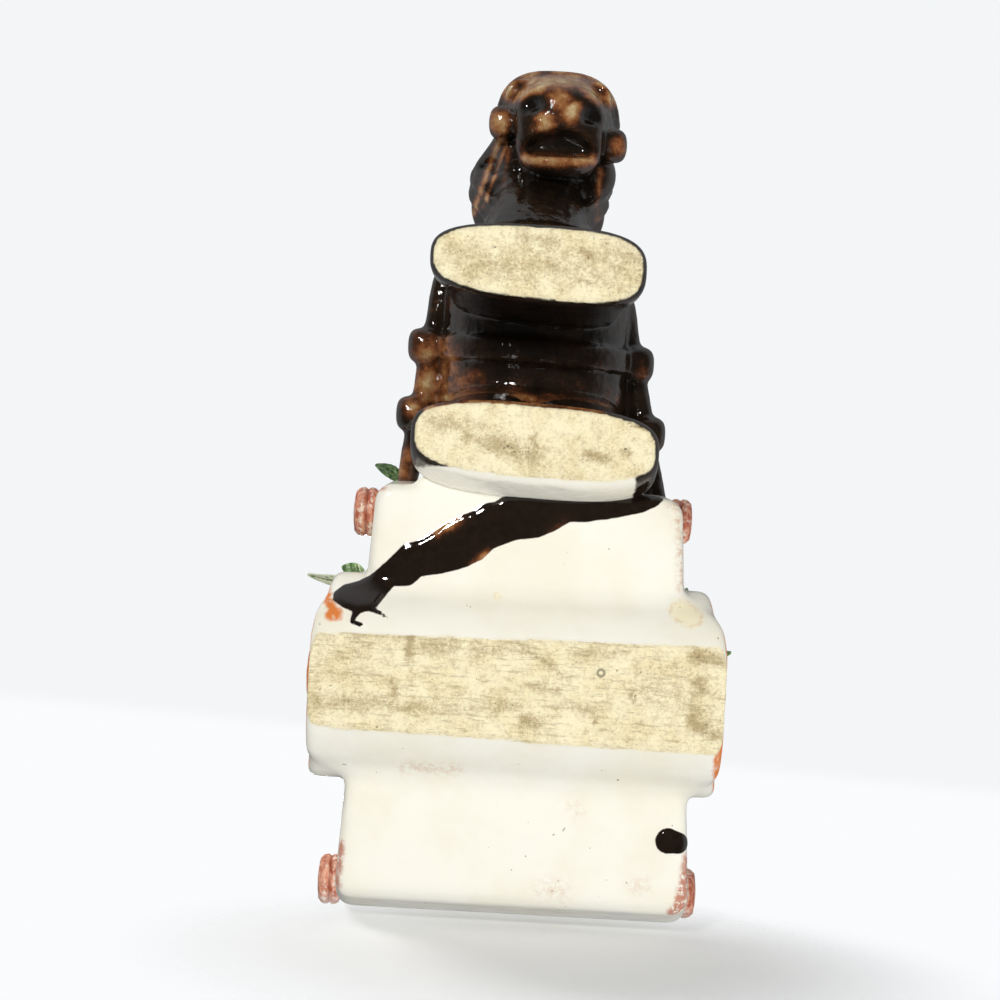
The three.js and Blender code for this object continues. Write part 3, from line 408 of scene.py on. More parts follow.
def ball(middle, sizes, power=2.0, count=28):
    """Superellipsoid: half sizes along x, f and z, rounder as the power falls to 2."""
    def drawn(wave):
        return np.sign(wave) * np.abs(wave) ** (2 / power)
    lift = np.linspace(-math.pi / 2, math.pi / 2, count // 2 + 1)[1:-1, None]
    angle = around(count)[None, :]
    across = drawn(np.cos(lift))
    shares = across * drawn(np.cos(angle)), -across * drawn(np.sin(angle)), drawn(np.sin(lift)) + 0 * angle
    return skin(np.asarray(middle) + np.stack(shares, axis=-1) * sizes)


def tube(path, radius, steps=40, count=20):
    """Round rod on a cubic through the path's points. The radius is one size or one for each point."""
    path = np.asarray(path, float)
    stations = np.column_stack([path, np.broadcast_to(radius, len(path))])
    line = through(stations, np.linspace(0, len(path) - 1, steps + 1))
    ahead = unit(np.gradient(line[:, :3], axis=0))
    side = unit(np.cross(ahead, np.eye(3)[np.argmin(np.abs(ahead).max(axis=0))]))
    up = np.cross(side, ahead)
    angle = around(count)[None, :, None]
    ring = np.cos(angle) * side[:, None] + np.sin(angle) * up[:, None]
    return skin(line[:, None, :3] + line[:, None, 3:] * ring)


def strap(lay, steps, thickness, sunk=0.8):
    """Flat strap along a lay: a rounded rectangle from `sunk` below the surface to `thickness` above it."""
    c, s = np.cos(around(16)), np.sin(around(16))
    reach = (c**4 + s**4) ** -0.25
    across = 0.5 + 0.5 * reach * c
    grow = (thickness - sunk) / 2 + (thickness + sunk) / 2 * reach * s
    along = np.linspace(0, 1, steps + 1)
    return skin(lay(across[None, :], along[:, None], grow[None, :]))


def swell(points, middle, shape, side=1):
    """Points pushed by a bell round the middle, whose shape is its reach and its push."""
    reach, (x, f, z) = shape
    near = np.exp(-(((points - middle) / reach) ** 2).sum(axis=-1))
    return points + near[..., None] * np.array([side * x, -f, z])


# Donkey


def placed_head(points):
    """The head's own turn about the upright through its middle, and its lean to one side."""
    pivot = point(0, HEAD_MIDDLE, 0)
    return turned(points - pivot, 2, HEAD_TURN) + pivot + np.array([HEAD_SHIFT, -HEAD_AHEAD, 0])


def slanted(points):
    """The donkey's places moved to one side and skewed, as it was luted to the cart."""
    return points + np.outer(points[:, 0], [0, DONKEY_SKEW, 0]) + [DONKEY_SHIFT, 0, 0]


def trunk_rows(f):
    """Barrel sections: the ends close as a superellipse, and the middle draws in by a bell."""
    half = TRUNK_LENGTH / 2
    share = np.clip((f - RUMP - half) / half, -1, 1)
    end = (1 - np.abs(share) ** TRUNK_FULLNESS) ** (1 / TRUNK_FULLNESS)
    waist = 1 - WAIST * bell(share / 0.35)
    return rows(0, f, TRUNK_MIDDLE, TRUNK_WIDTH / 2 * end * waist, TRUNK_HEIGHT / 2 * end, 90, 2.3)


def trunk():
    f = RUMP + TRUNK_LENGTH / 2 * (1 - np.cos(np.linspace(0.08, math.pi - 0.08, 40)))
    return lofted(trunk_rows(f), 64)


NECK_ROWS = [
    (0, 0, -0.35, 0.88, 0.92, 142), (0.27, 0.34, -0.3, 0.81, 1, 140), (0.52, 0.68, -0.3, 0.78, 0.95, 134),
    (0.77, 0.92, -0.3, 0.8, 0.84, 116), (1, 1, 0.05, 0.8, 0.72, 95),
]


def neck_rows(place):
    """Neck sections from the chest to the poll: the arch's reach and rise, its lean and its widths as shares.
    Above the collar the neck fills out to one width."""
    reach, rise, lean, wide, deep, tilt = columns_through(NECK_ROWS, place)
    f, z = NECK_START + NECK_REACH * reach, NECK_FOOT + NECK_RISE * rise
    full = np.clip((place - 1.85) / 0.4, 0, 1) * np.clip((4.3 - place) / 0.6, 0, 1)
    half = NECK_WIDTH / 2 * wide
    half = half + full * full * (3 - 2 * full) * (NECK_FULL - half)
    return rows(HEAD_SHIFT * lean, f, z, half, NECK_DEPTH / 2 * deep, tilt, 2.4)


HEAD_ROWS = [
    (0, 0.3, 0.3, 0.12, 0), (0.07, 0.7, 0.68, 0.07, 0), (0.2, 0.97, 0.97, 0.01, 0), (0.38, 1, 1, 0, 0),
    (0.56, 0.72, 0.78, 0.05, 0.2), (0.74, 0, 0, 0.073, 0.94), (0.88, 0, 0, 0.078, 1),
    (0.965, 0, 0, 0.078, 0.84), (1, 0, 0, 0.078, 0.5), (1.004, 0, 0, 0.078, 0.25), (1.005, 0, 0, 0.078, 0.02),
]
HEAD_END = 8


def head_rows(place):
    """Head sections from crown to lips: shares of the cheeks' and of the muzzle's width and depth."""
    drop, wide, deep, back, muzzle = columns_through(HEAD_ROWS, place)
    f, z = HEAD_MIDDLE - HEAD_DEPTH * back, CROWN - HEAD_LENGTH * drop
    half_wide = (HEAD_WIDTH * wide + MUZZLE_WIDTH * muzzle) / 2
    half_deep = (HEAD_DEPTH * deep + MUZZLE_DEPTH * muzzle) / 2
    return rows(0, f, z, half_wide, half_deep, 0, 2.3 + 0.5 * wide + 0.5 * muzzle)


def on_face(pixel, z=MUZZLE_END):
    """Place on a level of the face at a pixel, before the donkey's slant."""
    spot = seen(pixel, z)
    spot[0] -= DONKEY_SHIFT
    spot[1] -= DONKEY_SKEW * spot[0]
    return spot


def eye_place(side, grow, aside=0.0):
    """Spot below the brow, between the face's front and the cheek, or degrees aside of it round the face."""
    return on_section(head_rows(np.array(3.35)), math.pi / 2 - side * np.radians(48 + aside), grow)


def head():
    """Head sections under a shallow dome, with nose, nostrils, mouth, lips and eye sockets pressed in."""
    place = np.concatenate([np.linspace(0, 5, 40), np.linspace(5, len(HEAD_ROWS) - 1, 70)[1:]])
    grid = on_section(head_rows(place)[:, None], around(110))
    top = grid[0].mean(axis=0)
    share = np.linspace(0.05, 0.9, 7)[:, None, None]
    dome = top + share * (grid[0] - top) + (1 - share**2) * [0, 0, CROWN_RISE]
    grid = placed_head(np.concatenate([dome, grid]))
    grid = swell(grid, on_face(NOSE), NOSE_TIP)
    for side in SIDES:
        nostril, socket = on_face(NOSTRILS[side]), placed_head(eye_place(side, 1.5))
        grid = swell(grid, nostril + [0, 0, 1.2], NOSTRIL_RIM, side)
        grid = swell(grid, nostril + [0, 0, 0.6], NOSTRIL_HOLE, side)
        grid = swell(grid, socket, EYE_SOCKET, side)
        grid = swell(grid, socket + [0, 0, 3.4], EYE_BROW, side)
    grid = swell(grid, on_face(LOWER_LIP), LIP_SWELL)
    grid = swell(grid, on_face(CHIN), CHIN_SWELL)
    away = grid - on_face(MOUTH)
    across, upward = away @ PICTURE_RIGHT, away @ PICTURE_UP
    oval = np.hypot(across / MOUTH_HALF[0], (upward + MOUTH_DROOP * across**2) / MOUTH_HALF[1])
    low = bell(np.clip((grid[..., 2] - MUZZLE_END - 1) / 4, 0, None))
    grid[..., 2] += MOUTH_DEPTH / (1 + np.exp(12 * (oval - 1))) * low
    return skin(grid)


def eyes():
    """Eye balls between a heavy upper and a thin lower lid."""
    found = []
    turn = np.linspace(-1, 1, 7)
    for side in SIDES:
        found.append(ball(eye_place(side, -0.6), (1.7, 1.7, 1.3)))
        for lift, thick in ((1.3, 0.8), (-1.2, 0.55)):
            lid = eye_place(side, 0.5 - 0.6 * turn**2, 14 * turn)
            lid[:, 2] += lift * (1 - 0.85 * turn**2)
            found.append(tube(lid, thick * (1 - 0.4 * turn**2), count=12))
    return [(placed_head(points), *faces) for points, *faces in found]


EAR_ROWS = [
    (0, 0.62, 0.6), (0.16, 0.84, 0.64), (0.45, 1, 0.62), (0.74, 0.78, 0.5), (0.93, 0.4, 0.34),
    (1, 0.14, 0.14),
]


def ear(side):
    """Long leaf of elliptic sections, its front pressed in as a cup, leaned back and splayed to one side."""
    share, wide, deep = columns_through(EAR_ROWS, np.linspace(0, 5, 30))
    half = EAR_WIDTH / 2
    angle = around(40)
    sections = rows(0, 0, EAR_LENGTH * share, half * wide, half * deep, 0, 2)
    grid = on_section(sections[:, None], angle) - [0, AXLE_Y, 0]
    cup = np.clip(np.sin(angle), 0, 1) ** 0.5 * bell(grid[..., 0] / (half * 0.62))
    cup *= np.sin(math.pi * np.clip((share - 0.08) / 0.9, 0, 1))[:, None] ** 0.6
    grid[..., 1] += EAR_CUP * cup
    grid = turned(turned(grid, 0, -EAR_LEAN), 1, side * EAR_SPLAY)
    root = point(side * HEAD_WIDTH * 0.235, HEAD_MIDDLE - HEAD_DEPTH / 6, CROWN - HEAD_LENGTH * 0.11)
    return skin(placed_head(grid + root))


def mane():
    """Cropped crest along the top of the neck: a narrow ridge whose height and side waver as tufts."""
    share = np.linspace(0, 1, 70)
    crest = neck_rows(COLLAR_PLACE + 0.2 + (3.75 - COLLAR_PLACE - 0.2) * share)
    wave = MANE_TUFTS * math.pi * share
    tuft = np.abs(np.sin(wave))
    up, tilt = crest[:, 4] + MANE_RISE * 0.1, np.radians(crest[:, 5])
    deep = MANE_RISE * (0.75 + 0.3 * np.sin(math.pi * share) ** 0.7 + 0.16 * tuft)
    f, z = crest[:, 1] + up * np.cos(tilt), crest[:, 2] + up * np.sin(tilt)
    wide = MANE_WIDTH / 2 * (0.85 + 0.2 * tuft)
    return lofted(rows(crest[:, 0] + 0.25 * np.cos(wave), f, z, wide, deep, crest[:, 5], 2.2), 20)


def tail():
    """Tail down the middle of the rump: a rod along the barrel's end curve, thicker at its tuft."""
    turn = np.radians(np.linspace(66, -24, 8))
    c, s = np.cos(turn), np.sin(turn)
    reach = (np.abs(c) ** TRUNK_FULLNESS + np.abs(s) ** TRUNK_FULLNESS) ** (-1 / TRUNK_FULLNESS)
    f = RUMP + TRUNK_LENGTH / 2 - (TRUNK_LENGTH / 2 - 0.1) * reach * c
    path = point(0.4 * np.sin(3 * turn), f, TRUNK_MIDDLE + (TRUNK_HEIGHT / 2 + 0.2) * reach * s)
    return tube(path, [1.1, 1.5, 1.5, 1.4, 1.4, 1.7, 1.9, 0.8])


def leg_block(foot, aside, size, lean, rear_slope, flare):
    """Pair of legs as one slab: sections from a flat foot into the belly, a hollow down the front face
    between the legs, a rear face that slopes back from the foot, and one end longer by the share `flare`."""
    half, deep = size[0] / 2, size[1] / 2
    inside = TRUNK_WIDTH * 0.45
    stations = [
        (0, half, deep, 0), (BELLY_HEIGHT * 0.35, half * 0.985, deep, 0),
        (BELLY_HEIGHT * 0.8, (half * 0.9 + inside) / 2, deep * 1.12, lean * 0.5),
        (BELLY_HEIGHT + TRUNK_HEIGHT / 7, inside, deep * (0.15 + 0.85 * LEG_SPREAD), lean),
        (BELLY_HEIGHT + TRUNK_HEIGHT / 4, inside * 0.93, deep * LEG_SPREAD, lean),
    ]
    place = np.concatenate([np.linspace(0, 0.25, 8), np.linspace(0.25, 4, 40)[1:]])
    z, wide, long, move = columns_through(stations, place)
    worn = FOOT_EDGE * (1 - np.sqrt(1 - np.clip(1 - z / FOOT_EDGE, 0, 1) ** 2))
    slab = rows(aside, foot + move, z, wide - worn, long - worn, 0, 3)
    grid = on_section(slab[:, None], around(120))
    middle = AXLE_Y - foot
    back = AXLE_Y - grid[..., 1] < foot
    grid[..., 1] = middle + (grid[..., 1] - middle) * (1 + flare * grid[..., 0] / half)
    grid[..., 1] += np.where(back, rear_slope * np.clip(grid[..., 2] / BOX_CLEARANCE, 0, 1), 0)
    window = np.clip((grid[..., 2] - 1.5 * FOOT_EDGE) / 2, 0, 1)
    window *= np.clip((BELLY_HEIGHT * 0.92 - grid[..., 2]) / 4, 0, 1)
    grid[..., 1] += np.where(back, 0, CLEFT_DEPTH * bell(grid[..., 0] / (0.085 * size[0])) * window)
    return skin(grid)


def collar():
    """Padded ring round the neck: a soft hump carried round the neck's section, flatter across the throat."""
    along = np.array([-0.27, -0.24, -0.15, 0, 0.15, 0.24, 0.27, 0.15, -0.15])
    rise = np.array([-0.2, 0.55, 0.92, 1, 0.92, 0.55, -0.2, -0.4, -0.4])
    angle = around(72)
    thick = COLLAR_THICKNESS * (0.42 + 0.58 * np.clip(np.sin(angle), -0.4, 1))
    thick -= 0.6 * bell((angle - 1.5 * math.pi) / 0.9)
    sections = neck_rows(COLLAR_PLACE + along)
    return skin(on_section(sections[:, None], angle, thick * rise[:, None]), looped=True)


def trunk_strap(f, width, start, stop, thickness):
    """Strap round the barrel from one angle to another, measured from +X over the back."""
    def lay(across, along, grow):
        angle = np.radians(start + (stop - start) * along)
        return on_section(trunk_rows(f + width * (across - 0.5)), angle, grow)
    return strap(lay, max(8, int(abs(stop - start) / 4)), thickness)


def bridle_lay(drop, degrees, grow):
    """Place on the head, at a drop below the crown as a share of its length and at an angle from +X."""
    return placed_head(on_section(head_rows(drop * HEAD_END), np.radians(degrees), grow))


def head_strap(start_drop, stop_drop, start, stop, thickness):
    """Band of the bridle round the face, between two drops below the crown."""
    def lay(across, along, grow):
        drop = start_drop + (stop_drop - start_drop) * across
        return bridle_lay(drop, start + (stop - start) * along, grow)
    return strap(lay, 40, thickness)


def cheek_strap(start, stop, angle):
    """Band of the bridle down one cheek."""
    def lay(across, along, grow):
        return bridle_lay(start + (stop - start) * along, angle - 7 + 14 * across, grow)
    return strap(lay, 24, BRIDLE_THICKNESS)


def shaft_point(side, f):
    """Shaft line: it closes on the barrel and rises a little towards the chest."""
    share = (f - SHAFT_REAR) / (SHAFT_FRONT - SHAFT_REAR)
    rear, front = SHAFT_OUT[side]
    out = TRUNK_WIDTH / 2 + rear + (front - rear) * share
    return point(side * out, f, SHAFT_HEIGHT - SHAFT_RADIUS * (1 - share))


def shaft(side):
    """Rod along the shaft line, of a wavering thickness that falls off at its end."""
    f = np.linspace(SHAFT_REAR - 0.5, SHAFT_FRONT, 9)
    thick = SHAFT_RADIUS * (1 + 0.07 * np.sin(np.arange(9) * 1.9 + side))
    thick[-1] *= 0.72
    return tube(shaft_point(side, f), thick, steps=60)


def tug(side, f):
    spot = shaft_point(side, f) + np.array([side * TUG_OUT[side], 0, 0.6])
    return ball(spot, (SHAFT_RADIUS + 1.1, 3.0, (SHAFT_RADIUS + 1.4) * 1.25), 3.2)


def web(side):
    """Clay left between shaft and barrel: flat sections that reach from one to the other."""
    f = np.linspace(REAR_TUG - 4, FRONT_TUG + 4, 20)
    outer = np.abs(shaft_point(side, f)[:, 0])
    inner = trunk_rows(f)[:, 3] * 0.9
    z = SHAFT_HEIGHT + 0.8 + 0.5 * np.sin(f * 0.9)
    return lofted(rows(side * (outer + inner) / 2, f, z, (outer - inner) / 2, 2.4, 90, 3), 28)


def bit_ring(side):
    return ball(on_face(KNOBS[side], BIT_HEIGHT), (2.3, 3.0, 3.0), 2.6)


def reins(side):
    """Two strands side by side on a sunk one, from the bit ring back along the neck to the collar, and the
    knot of clay where they leave the ring."""
    start = on_face(KNOBS[side], BIT_HEIGHT) + [-side * 0.7, 1.5, 0]
    found = []
    for turn, grow, radius in REIN_STRANDS:
        angle = math.pi / 2 - side * (math.pi / 2 + turn)
        laid = on_section(neck_rows(np.array([3.3, 2.8, 2.3, COLLAR_PLACE])), angle, grow)
        found.append(tube([start, *laid], radius, count=12))
    return [*found, ball(start + [-side * 1.6, 3.2, 6.0], (3.2, 4.4, 4.4))]


def donkey_surfaces():
    found = [trunk(), lofted(neck_rows(np.linspace(0, 4, 36)), 56), head(), *eyes(), mane(), tail(), collar()]
    found += [
        leg_block(FRONT_FOOT + 0.5, -0.6, FRONT_FOOT_SIZE, 0, 0.4, 0.08),
        leg_block(HIND_FOOT, 0.4, HIND_FOOT_SIZE, 2, 2.8, 0),
        trunk_strap(FRONT_TUG, STRAP_WIDTH, 0, 352, STRAP_THICKNESS),
        trunk_strap(FRONT_TUG, STRAP_WIDTH * 1.7, 58, 122, STRAP_THICKNESS * 1.5),
        trunk_strap(REAR_TUG, STRAP_WIDTH, -10, 190, STRAP_THICKNESS),
        head_strap(0.26, 0.33, 8, 172, STRAP_THICKNESS), head_strap(0.575, 0.655, 12, 168, BRIDLE_THICKNESS),
        cheek_strap(0.29, 0.62, 0), cheek_strap(0.29, 0.62, 180),
    ]
    for side in SIDES:
        found += [ear(side), shaft(side), web(side), tug(side, FRONT_TUG), tug(side, REAR_TUG)]
        found += [bit_ring(side), *reins(side)]
    return [(slanted(points), *faces) for points, *faces in found]


# Cart


def tub_ring(z, inset):
    """Rounded rectangle at a height of the box, drawn in by `inset`: four corner arcs, narrower in front."""
    lean = BOX_FLARE * (z - BOX_CLEARANCE) / BOX_HEIGHT
    wide, long = BOX_WIDTH / 2 + lean - inset, BOX_LENGTH / 2 + lean - inset
    radius = max(BOX_CORNER + lean - inset, 1.5)
    quarter = np.linspace(0, math.pi / 2, 12)
    angle = np.concatenate([quarter + k * math.pi / 2 for k in range(4)])
    side, end = np.repeat([1, -1, -1, 1], 12), np.repeat([1, 1, -1, -1], 12)
    f = BOX_MIDDLE + end * (long - radius) + radius * np.sin(angle)
    taper = BOX_TAPER * (f - BOX_MIDDLE) / BOX_LENGTH
    return point(side * (wide - radius - taper) + radius * np.cos(angle), f, z)


def splay(points):
    """How far the box's right side runs out towards the tail."""
    return RIGHT_SPLAY * (11 - AXLE_Y + points[..., 1])


def tub():
    """Open box: rings from the middle of the underside round the floor's edge, up the wall, over the rim and
    down to the floor inside. The lower tail edge is chamfered, and the box sits a little to one side."""
    turn, roll = np.linspace(0, math.pi / 2, 7), np.linspace(0, math.pi, 9)
    edge = [(BOX_CLEARANCE + BOX_EDGE * (1 - math.cos(t)), BOX_EDGE * (1 - math.sin(t))) for t in turn]
    half = BOX_WALL / 2
    rim = [(RIM_HEIGHT - half * (1 - math.sin(t)), half * (1 - math.cos(t))) for t in roll]
    floor = BOX_CLEARANCE + BOX_FLOOR
    inner = [(floor + BOX_COVE * (1 - math.sin(t)), BOX_WALL + BOX_COVE * (1 - math.cos(t))) for t in turn]
    levels = edge + [(z, 0) for z in (16, 24, 32)] + rim + [(z, BOX_WALL) for z in (32, 24)] + inner
    grid = np.stack([tub_ring(z, inset) for z, inset in levels])
    low = np.clip(1 - (grid[..., 2] - BOX_CLEARANCE) / 5, 0, 1)
    tail_end = np.clip((grid[..., 1] - AXLE_Y - BOX_LENGTH * 0.4) / 4, 0, 1)
    grid[..., 1] -= TAIL_CHAMFER * low * tail_end
    grid[..., 0] += BOX_SHIFT + BOX_SPREAD * grid[..., 0]
    grid[..., 0] += splay(grid) * np.clip(grid[..., 0] / 20, 0, 1)
    return skin(grid)


def drawn_in(f):
    """How far the wheels' outer side draws in towards the front of the tread."""
    return CORNER_DRAW * bell((f - WHEEL_RADIUS) / 5)


def stood(points):
    """Wheel places tilted along the axle and pressed flat at the table: the flat widens to one end."""
    points[..., 2] = np.maximum(points[..., 2] - AXLE_TILT * points[..., 0] + AXLE_LIFT, 0)
    return points


def wheel(side):
    """Round with a flat on the table: a profile from the back over the tread to the face, turned about the
    axle. Between rim, hub and spokes the face is pressed in."""
    edge = np.linspace(0, math.pi / 2, 6)
    profile = [(WHEEL_BACK, 0.3), (WHEEL_BACK, WHEEL_RADIUS), (28, WHEEL_RADIUS)]
    face, tread = WHEEL_FACE - WHEEL_EDGE, WHEEL_RADIUS - WHEEL_EDGE
    profile += [(face + WHEEL_EDGE * math.sin(t), tread + WHEEL_EDGE * math.cos(t)) for t in edge]
    profile += [(WHEEL_FACE, r) for r in np.linspace(tread, 0.3, 44)[1:]]
    out, radius = np.hsplit(np.array(profile), 2)
    angle = around(192)[None, :]
    spacing = TURN / SPOKE_COUNT
    off_spoke = np.abs((angle + spacing / 2) % spacing - spacing / 2) * radius - SPOKE_WIDTH / 2
    inside = np.minimum(WHEEL_RADIUS - WHEEL_RIM - radius, radius - HUB_RADIUS - 1.2)
    panel = 1 / (1 + np.exp(-np.minimum(inside, off_spoke) / 0.16))
    out = out - WHEEL_RELIEF * panel * (out > WHEEL_FACE - 0.01)
    f, z = radius * np.sin(angle), AXLE_HEIGHT + radius * np.cos(angle)
    return skin(stood(point(side * (out - drawn_in(f)), f, z)))


def foot_block():
    """Cross block under the floor: the wheels' lower arc and flat, carried from one wheel to the other."""
    under = math.acos((AXLE_HEIGHT - BOX_CLEARANCE - 2.5) / WHEEL_RADIUS)
    angle = np.linspace(-under, under, 60)
    f, z = WHEEL_RADIUS * np.sin(angle), AXLE_HEIGHT - WHEEL_RADIUS * np.cos(angle)
    ends = np.linspace(-WHEEL_FACE + 4, WHEEL_FACE - 4, 30)
    return skin(stood(point(ends[:, None], f[None, :], z[None, :])))


def hitch():
    """Web of slip between the rear face of the hind legs and the front of the box."""
    z = np.linspace(BOX_CLEARANCE + 0.6, HITCH_TOP, 12)
    wide = HITCH_HALF - 2.2 * ((z - BOX_CLEARANCE) / 20) ** 2
    return lofted(rows(0, BOX_AHEAD + 0.2, z, wide, 1.9, 0, 4), 60)


# Trim on the cart


def swept(x, radius, angle, middle):
    """Surface turned about a cross axis through the middle: x along the axis, and the radius away from it."""
    y, z = middle[1] + radius * np.sin(angle), middle[2] + radius * np.cos(angle)
    return skin(np.stack(np.broadcast_arrays(x, y, z), axis=-1))


def hub(node, side):
    """Turned cap: a shallow dome with a raised button, swept about the axle."""
    low, high = node_box(node)
    rise = np.array([-0.8, 0.25, 0.55, 0.72, 0.76, 0.72, 0.9, 1.0])
    share = np.array([1.0, 1.0, 0.94, 0.8, 0.62, 0.5, 0.36, 0.12])
    rise, share = np.hsplit(through(np.column_stack([rise, share]), np.linspace(0, 7, 36)), 2)
    base = low[0] if side > 0 else -high[0]
    x = side * (base + HUB_RISE * (high[0] - low[0]) * rise)
    return swept(x, HUB_RADIUS * share, around(48)[None, :], (low + high) / 2)


def scroll(node, side):
    """Rolled knob: a grooved rim swept about a cross axis, with a spiral pressed into its outer face."""
    low, high = node_box(node)
    out, back, full = SCROLL_MOVE[node]
    middle = (low + high) / 2 + [side * out * 0.6, back, 0]
    size = (high - low) / 2 + [out * 0.4, 0, 0]
    turn = np.linspace(0, math.pi, 15)
    rim = np.column_stack([-np.cos(turn), 1 - 0.2 * (1 - np.sin(turn)) - 0.1 * bell(np.cos(turn) / 0.2)])
    face = np.column_stack([np.ones(26), np.linspace(0.8, 0.02, 26)])
    rear = np.column_stack([-np.ones(4), np.linspace(0.1, 0.8, 4)])
    along, share = np.hsplit(np.vstack([rear, rim, face]), 2)
    angle = around(72)[None, :]
    on_face_side = along > 0.99
    wind = (share * 2.6 - angle / TURN) % 1.0
    groove = bell((wind - 0.5) / 0.16) * on_face_side * np.clip((0.8 - share) / 0.1, 0, 1)
    dome = 0.22 * np.clip(1 - share**2, 0, 1) * on_face_side
    x = middle[0] - side * 0.5 + side * size[0] * (0.76 * along + dome - 0.3 * groove)
    return swept(x, max(size[1], size[2]) * full * share, angle, middle)


def rail(node, side):
    """Bead along the rim, a thin rod that follows the taper of the box and wavers a little."""
    low, high = node_box(node)
    share = np.linspace(0, 1, 9)
    length, radius = high[1] - low[1], (high[2] - low[2]) / 2
    out = max(abs(low[0]), abs(high[0])) - BOX_TAPER * length / BOX_LENGTH * (1 - share) - radius
    z = (low[2] + high[2]) / 2 + 0.12 * np.sin(7 * share + side)
    path = np.column_stack([side * out, low[1] - 0.6 + (length + 1.2) * share, z])
    path[:, 0] += side * RAIL_OUT[side] + splay(path) * (side > 0)
    return tube(path, radius * (1 + 0.05 * np.sin(11 * share)), steps=90)


def flower(node, side):
    """Bloom on a polar grid: the outline and the height dip between petals, round a dimpled button."""
    low, high = node_box(node)
    size = (high - low) / 2
    share = np.concatenate([np.linspace(0.02, 1, 34), np.linspace(0.98, 0.05, 8)])[:, None]
    behind = np.concatenate([np.zeros(34), np.linspace(0.3, 1, 8)])[:, None]
    angle = around(120)[None, :]
    petal = np.abs(np.cos(PETAL_COUNT / 2 * angle))
    outline = 0.74 + 0.26 * petal**0.7
    outer = np.clip((share - 0.3) / 0.2, 0, 1)
    radius = max(size[1], size[2]) * share * (1 + outer * (outline - 1))
    dome = 0.45 + 0.4 * np.sin(math.pi * np.clip(share, 0, 1) ** 0.8) ** 0.8 * (0.45 + 0.55 * petal**0.6)
    button = 0.95 * np.sqrt(np.clip(1 - (share / 0.27) ** 2, 0, 1))
    front = np.maximum(np.where(share > 0.27, dome - 0.25 * bell((share - 0.3) / 0.06), 0), button)
    rise = np.where(behind > 0, 0.25 * (1 - behind) - 0.2, front) * 2 * size[0]
    wall = low[0] if side > 0 else -high[0]
    return swept(side * (wall + rise), radius, angle, (low + high) / 2)


def leaf(node):
    """Pointed leaf from stalk to tip: the width swells as a sine, the front has a pressed midrib and veins,
    and the blade arches outwards."""
    low, high = node_box(node)
    stalk, tip, facing = (np.array(part, float) for part in LEAVES[node])
    stalk, tip = low + (high - low) * stalk, low + (high - low) * tip
    along = tip - stalk
    side = unit(np.cross(along, facing))
    out = unit(np.cross(side, along))
    share = np.linspace(0.01, 0.995, 40)[:, None]
    angle = around(32)[None, :]
    across = np.cos(angle)
    wide = LEAF_WIDTH / 2 * (0.1 + 0.9 * np.sin(math.pi * share**0.8) ** 0.85)
    vein = 0.3 * bell(across / 0.12) + 0.1 * np.cos(TURN * (6 * share - 1.2 * np.abs(across))) * (1 - share)
    thick = LEAF_THICKNESS / 2 * (1 - 0.6 * share) * np.sin(angle)
    thick = thick - np.where(np.sin(angle) > 0, vein, 0) * (1 - share**4)
    arch = LEAF_THICKNESS * 0.5 * np.sin(math.pi * share) + 0.25 * across**2
    spine = stalk + share[..., None] * along
    return skin(spine + (wide * across)[..., None] * side + (thick + arch)[..., None] * out)


# Meshes


def linked(name, data):
    """Object of a mesh, lamp or camera in the scene, at the origin."""
    found = bpy.data.objects.new(name, data)
    scene.collection.objects.link(found)
    return found


def mesh_object(name, surfaces):
    """One object from closed surfaces, in metres."""
    starts = np.cumsum([0] + [len(surface[0]) for surface in surfaces])
    points = np.vstack([surface[0] for surface in surfaces]) * MM
    faces = []
    for start, (_, quads, tris) in zip(starts, surfaces):
        faces += (quads + start).tolist() + (tris + start).tolist()
    mesh = bpy.data.meshes.new(name)
    mesh.from_pydata(points, [], faces)
    mesh.shade_smooth()
    mesh.update()
    return linked(name, mesh)


def vectors(items, name):
    """One vector of each item of a mesh, as rows."""
    found = np.empty(len(items) * 3, np.float32)
    items.foreach_get(name, found)
    return found.reshape(-1, 3).astype(float)


def mesh_points(mesh):
    return vectors(mesh.vertices, "co") / MM


def mesh_normals(mesh):
    return vectors(mesh.vertex_normals, "vector")


def set_points(mesh, points):
    mesh.vertices.foreach_set("co", (points * MM).astype(np.float32).ravel())
    mesh.update()


def settle(mesh, points):
    """Points set into the mesh, flat on the table where they are nearly there."""
    points[:, 2] = np.where(points[:, 2] < 0.3, 0, points[:, 2])
    set_points(mesh, points)


def smoothed(mesh, values, rounds, step=0.5):
    """Values moved towards the mean of their neighbours along the edges, `rounds` times by `step`."""
    ends = np.empty(len(mesh.edges) * 2, np.int32)
    mesh.edges.foreach_get("vertices", ends)
    start, stop = ends.reshape(-1, 2).T
    size = len(mesh.vertices)
    share = 1 / np.maximum(np.bincount(start, minlength=size) + np.bincount(stop, minlength=size), 1)
    for _ in range(rounds):
        sums = [
            np.bincount(start, part[stop], size) + np.bincount(stop, part[start], size) for part in values.T
        ]
        values = values + step * (np.stack(sums, axis=1) * share[:, None] - values)
    return values


def fused(name, surfaces, voxel, rounds):
    """The surfaces as one skin: the outer hull on a fine grid, softened as slip and glaze soften joints, and
    pressed flat where it stands on the table."""
    raw = mesh_object(name + "_raw", surfaces)
    hull = raw.modifiers.new("hull", "REMESH")
    hull.mode = "VOXEL"
    hull.voxel_size = voxel * MM
    mesh = bpy.data.meshes.new_from_object(raw.evaluated_get(bpy.context.evaluated_depsgraph_get()))
    bpy.data.objects.remove(raw)
    mesh.name = name
    settle(mesh, smoothed(mesh, mesh_points(mesh), rounds))
    mesh.shade_smooth()
    return linked(name, mesh)


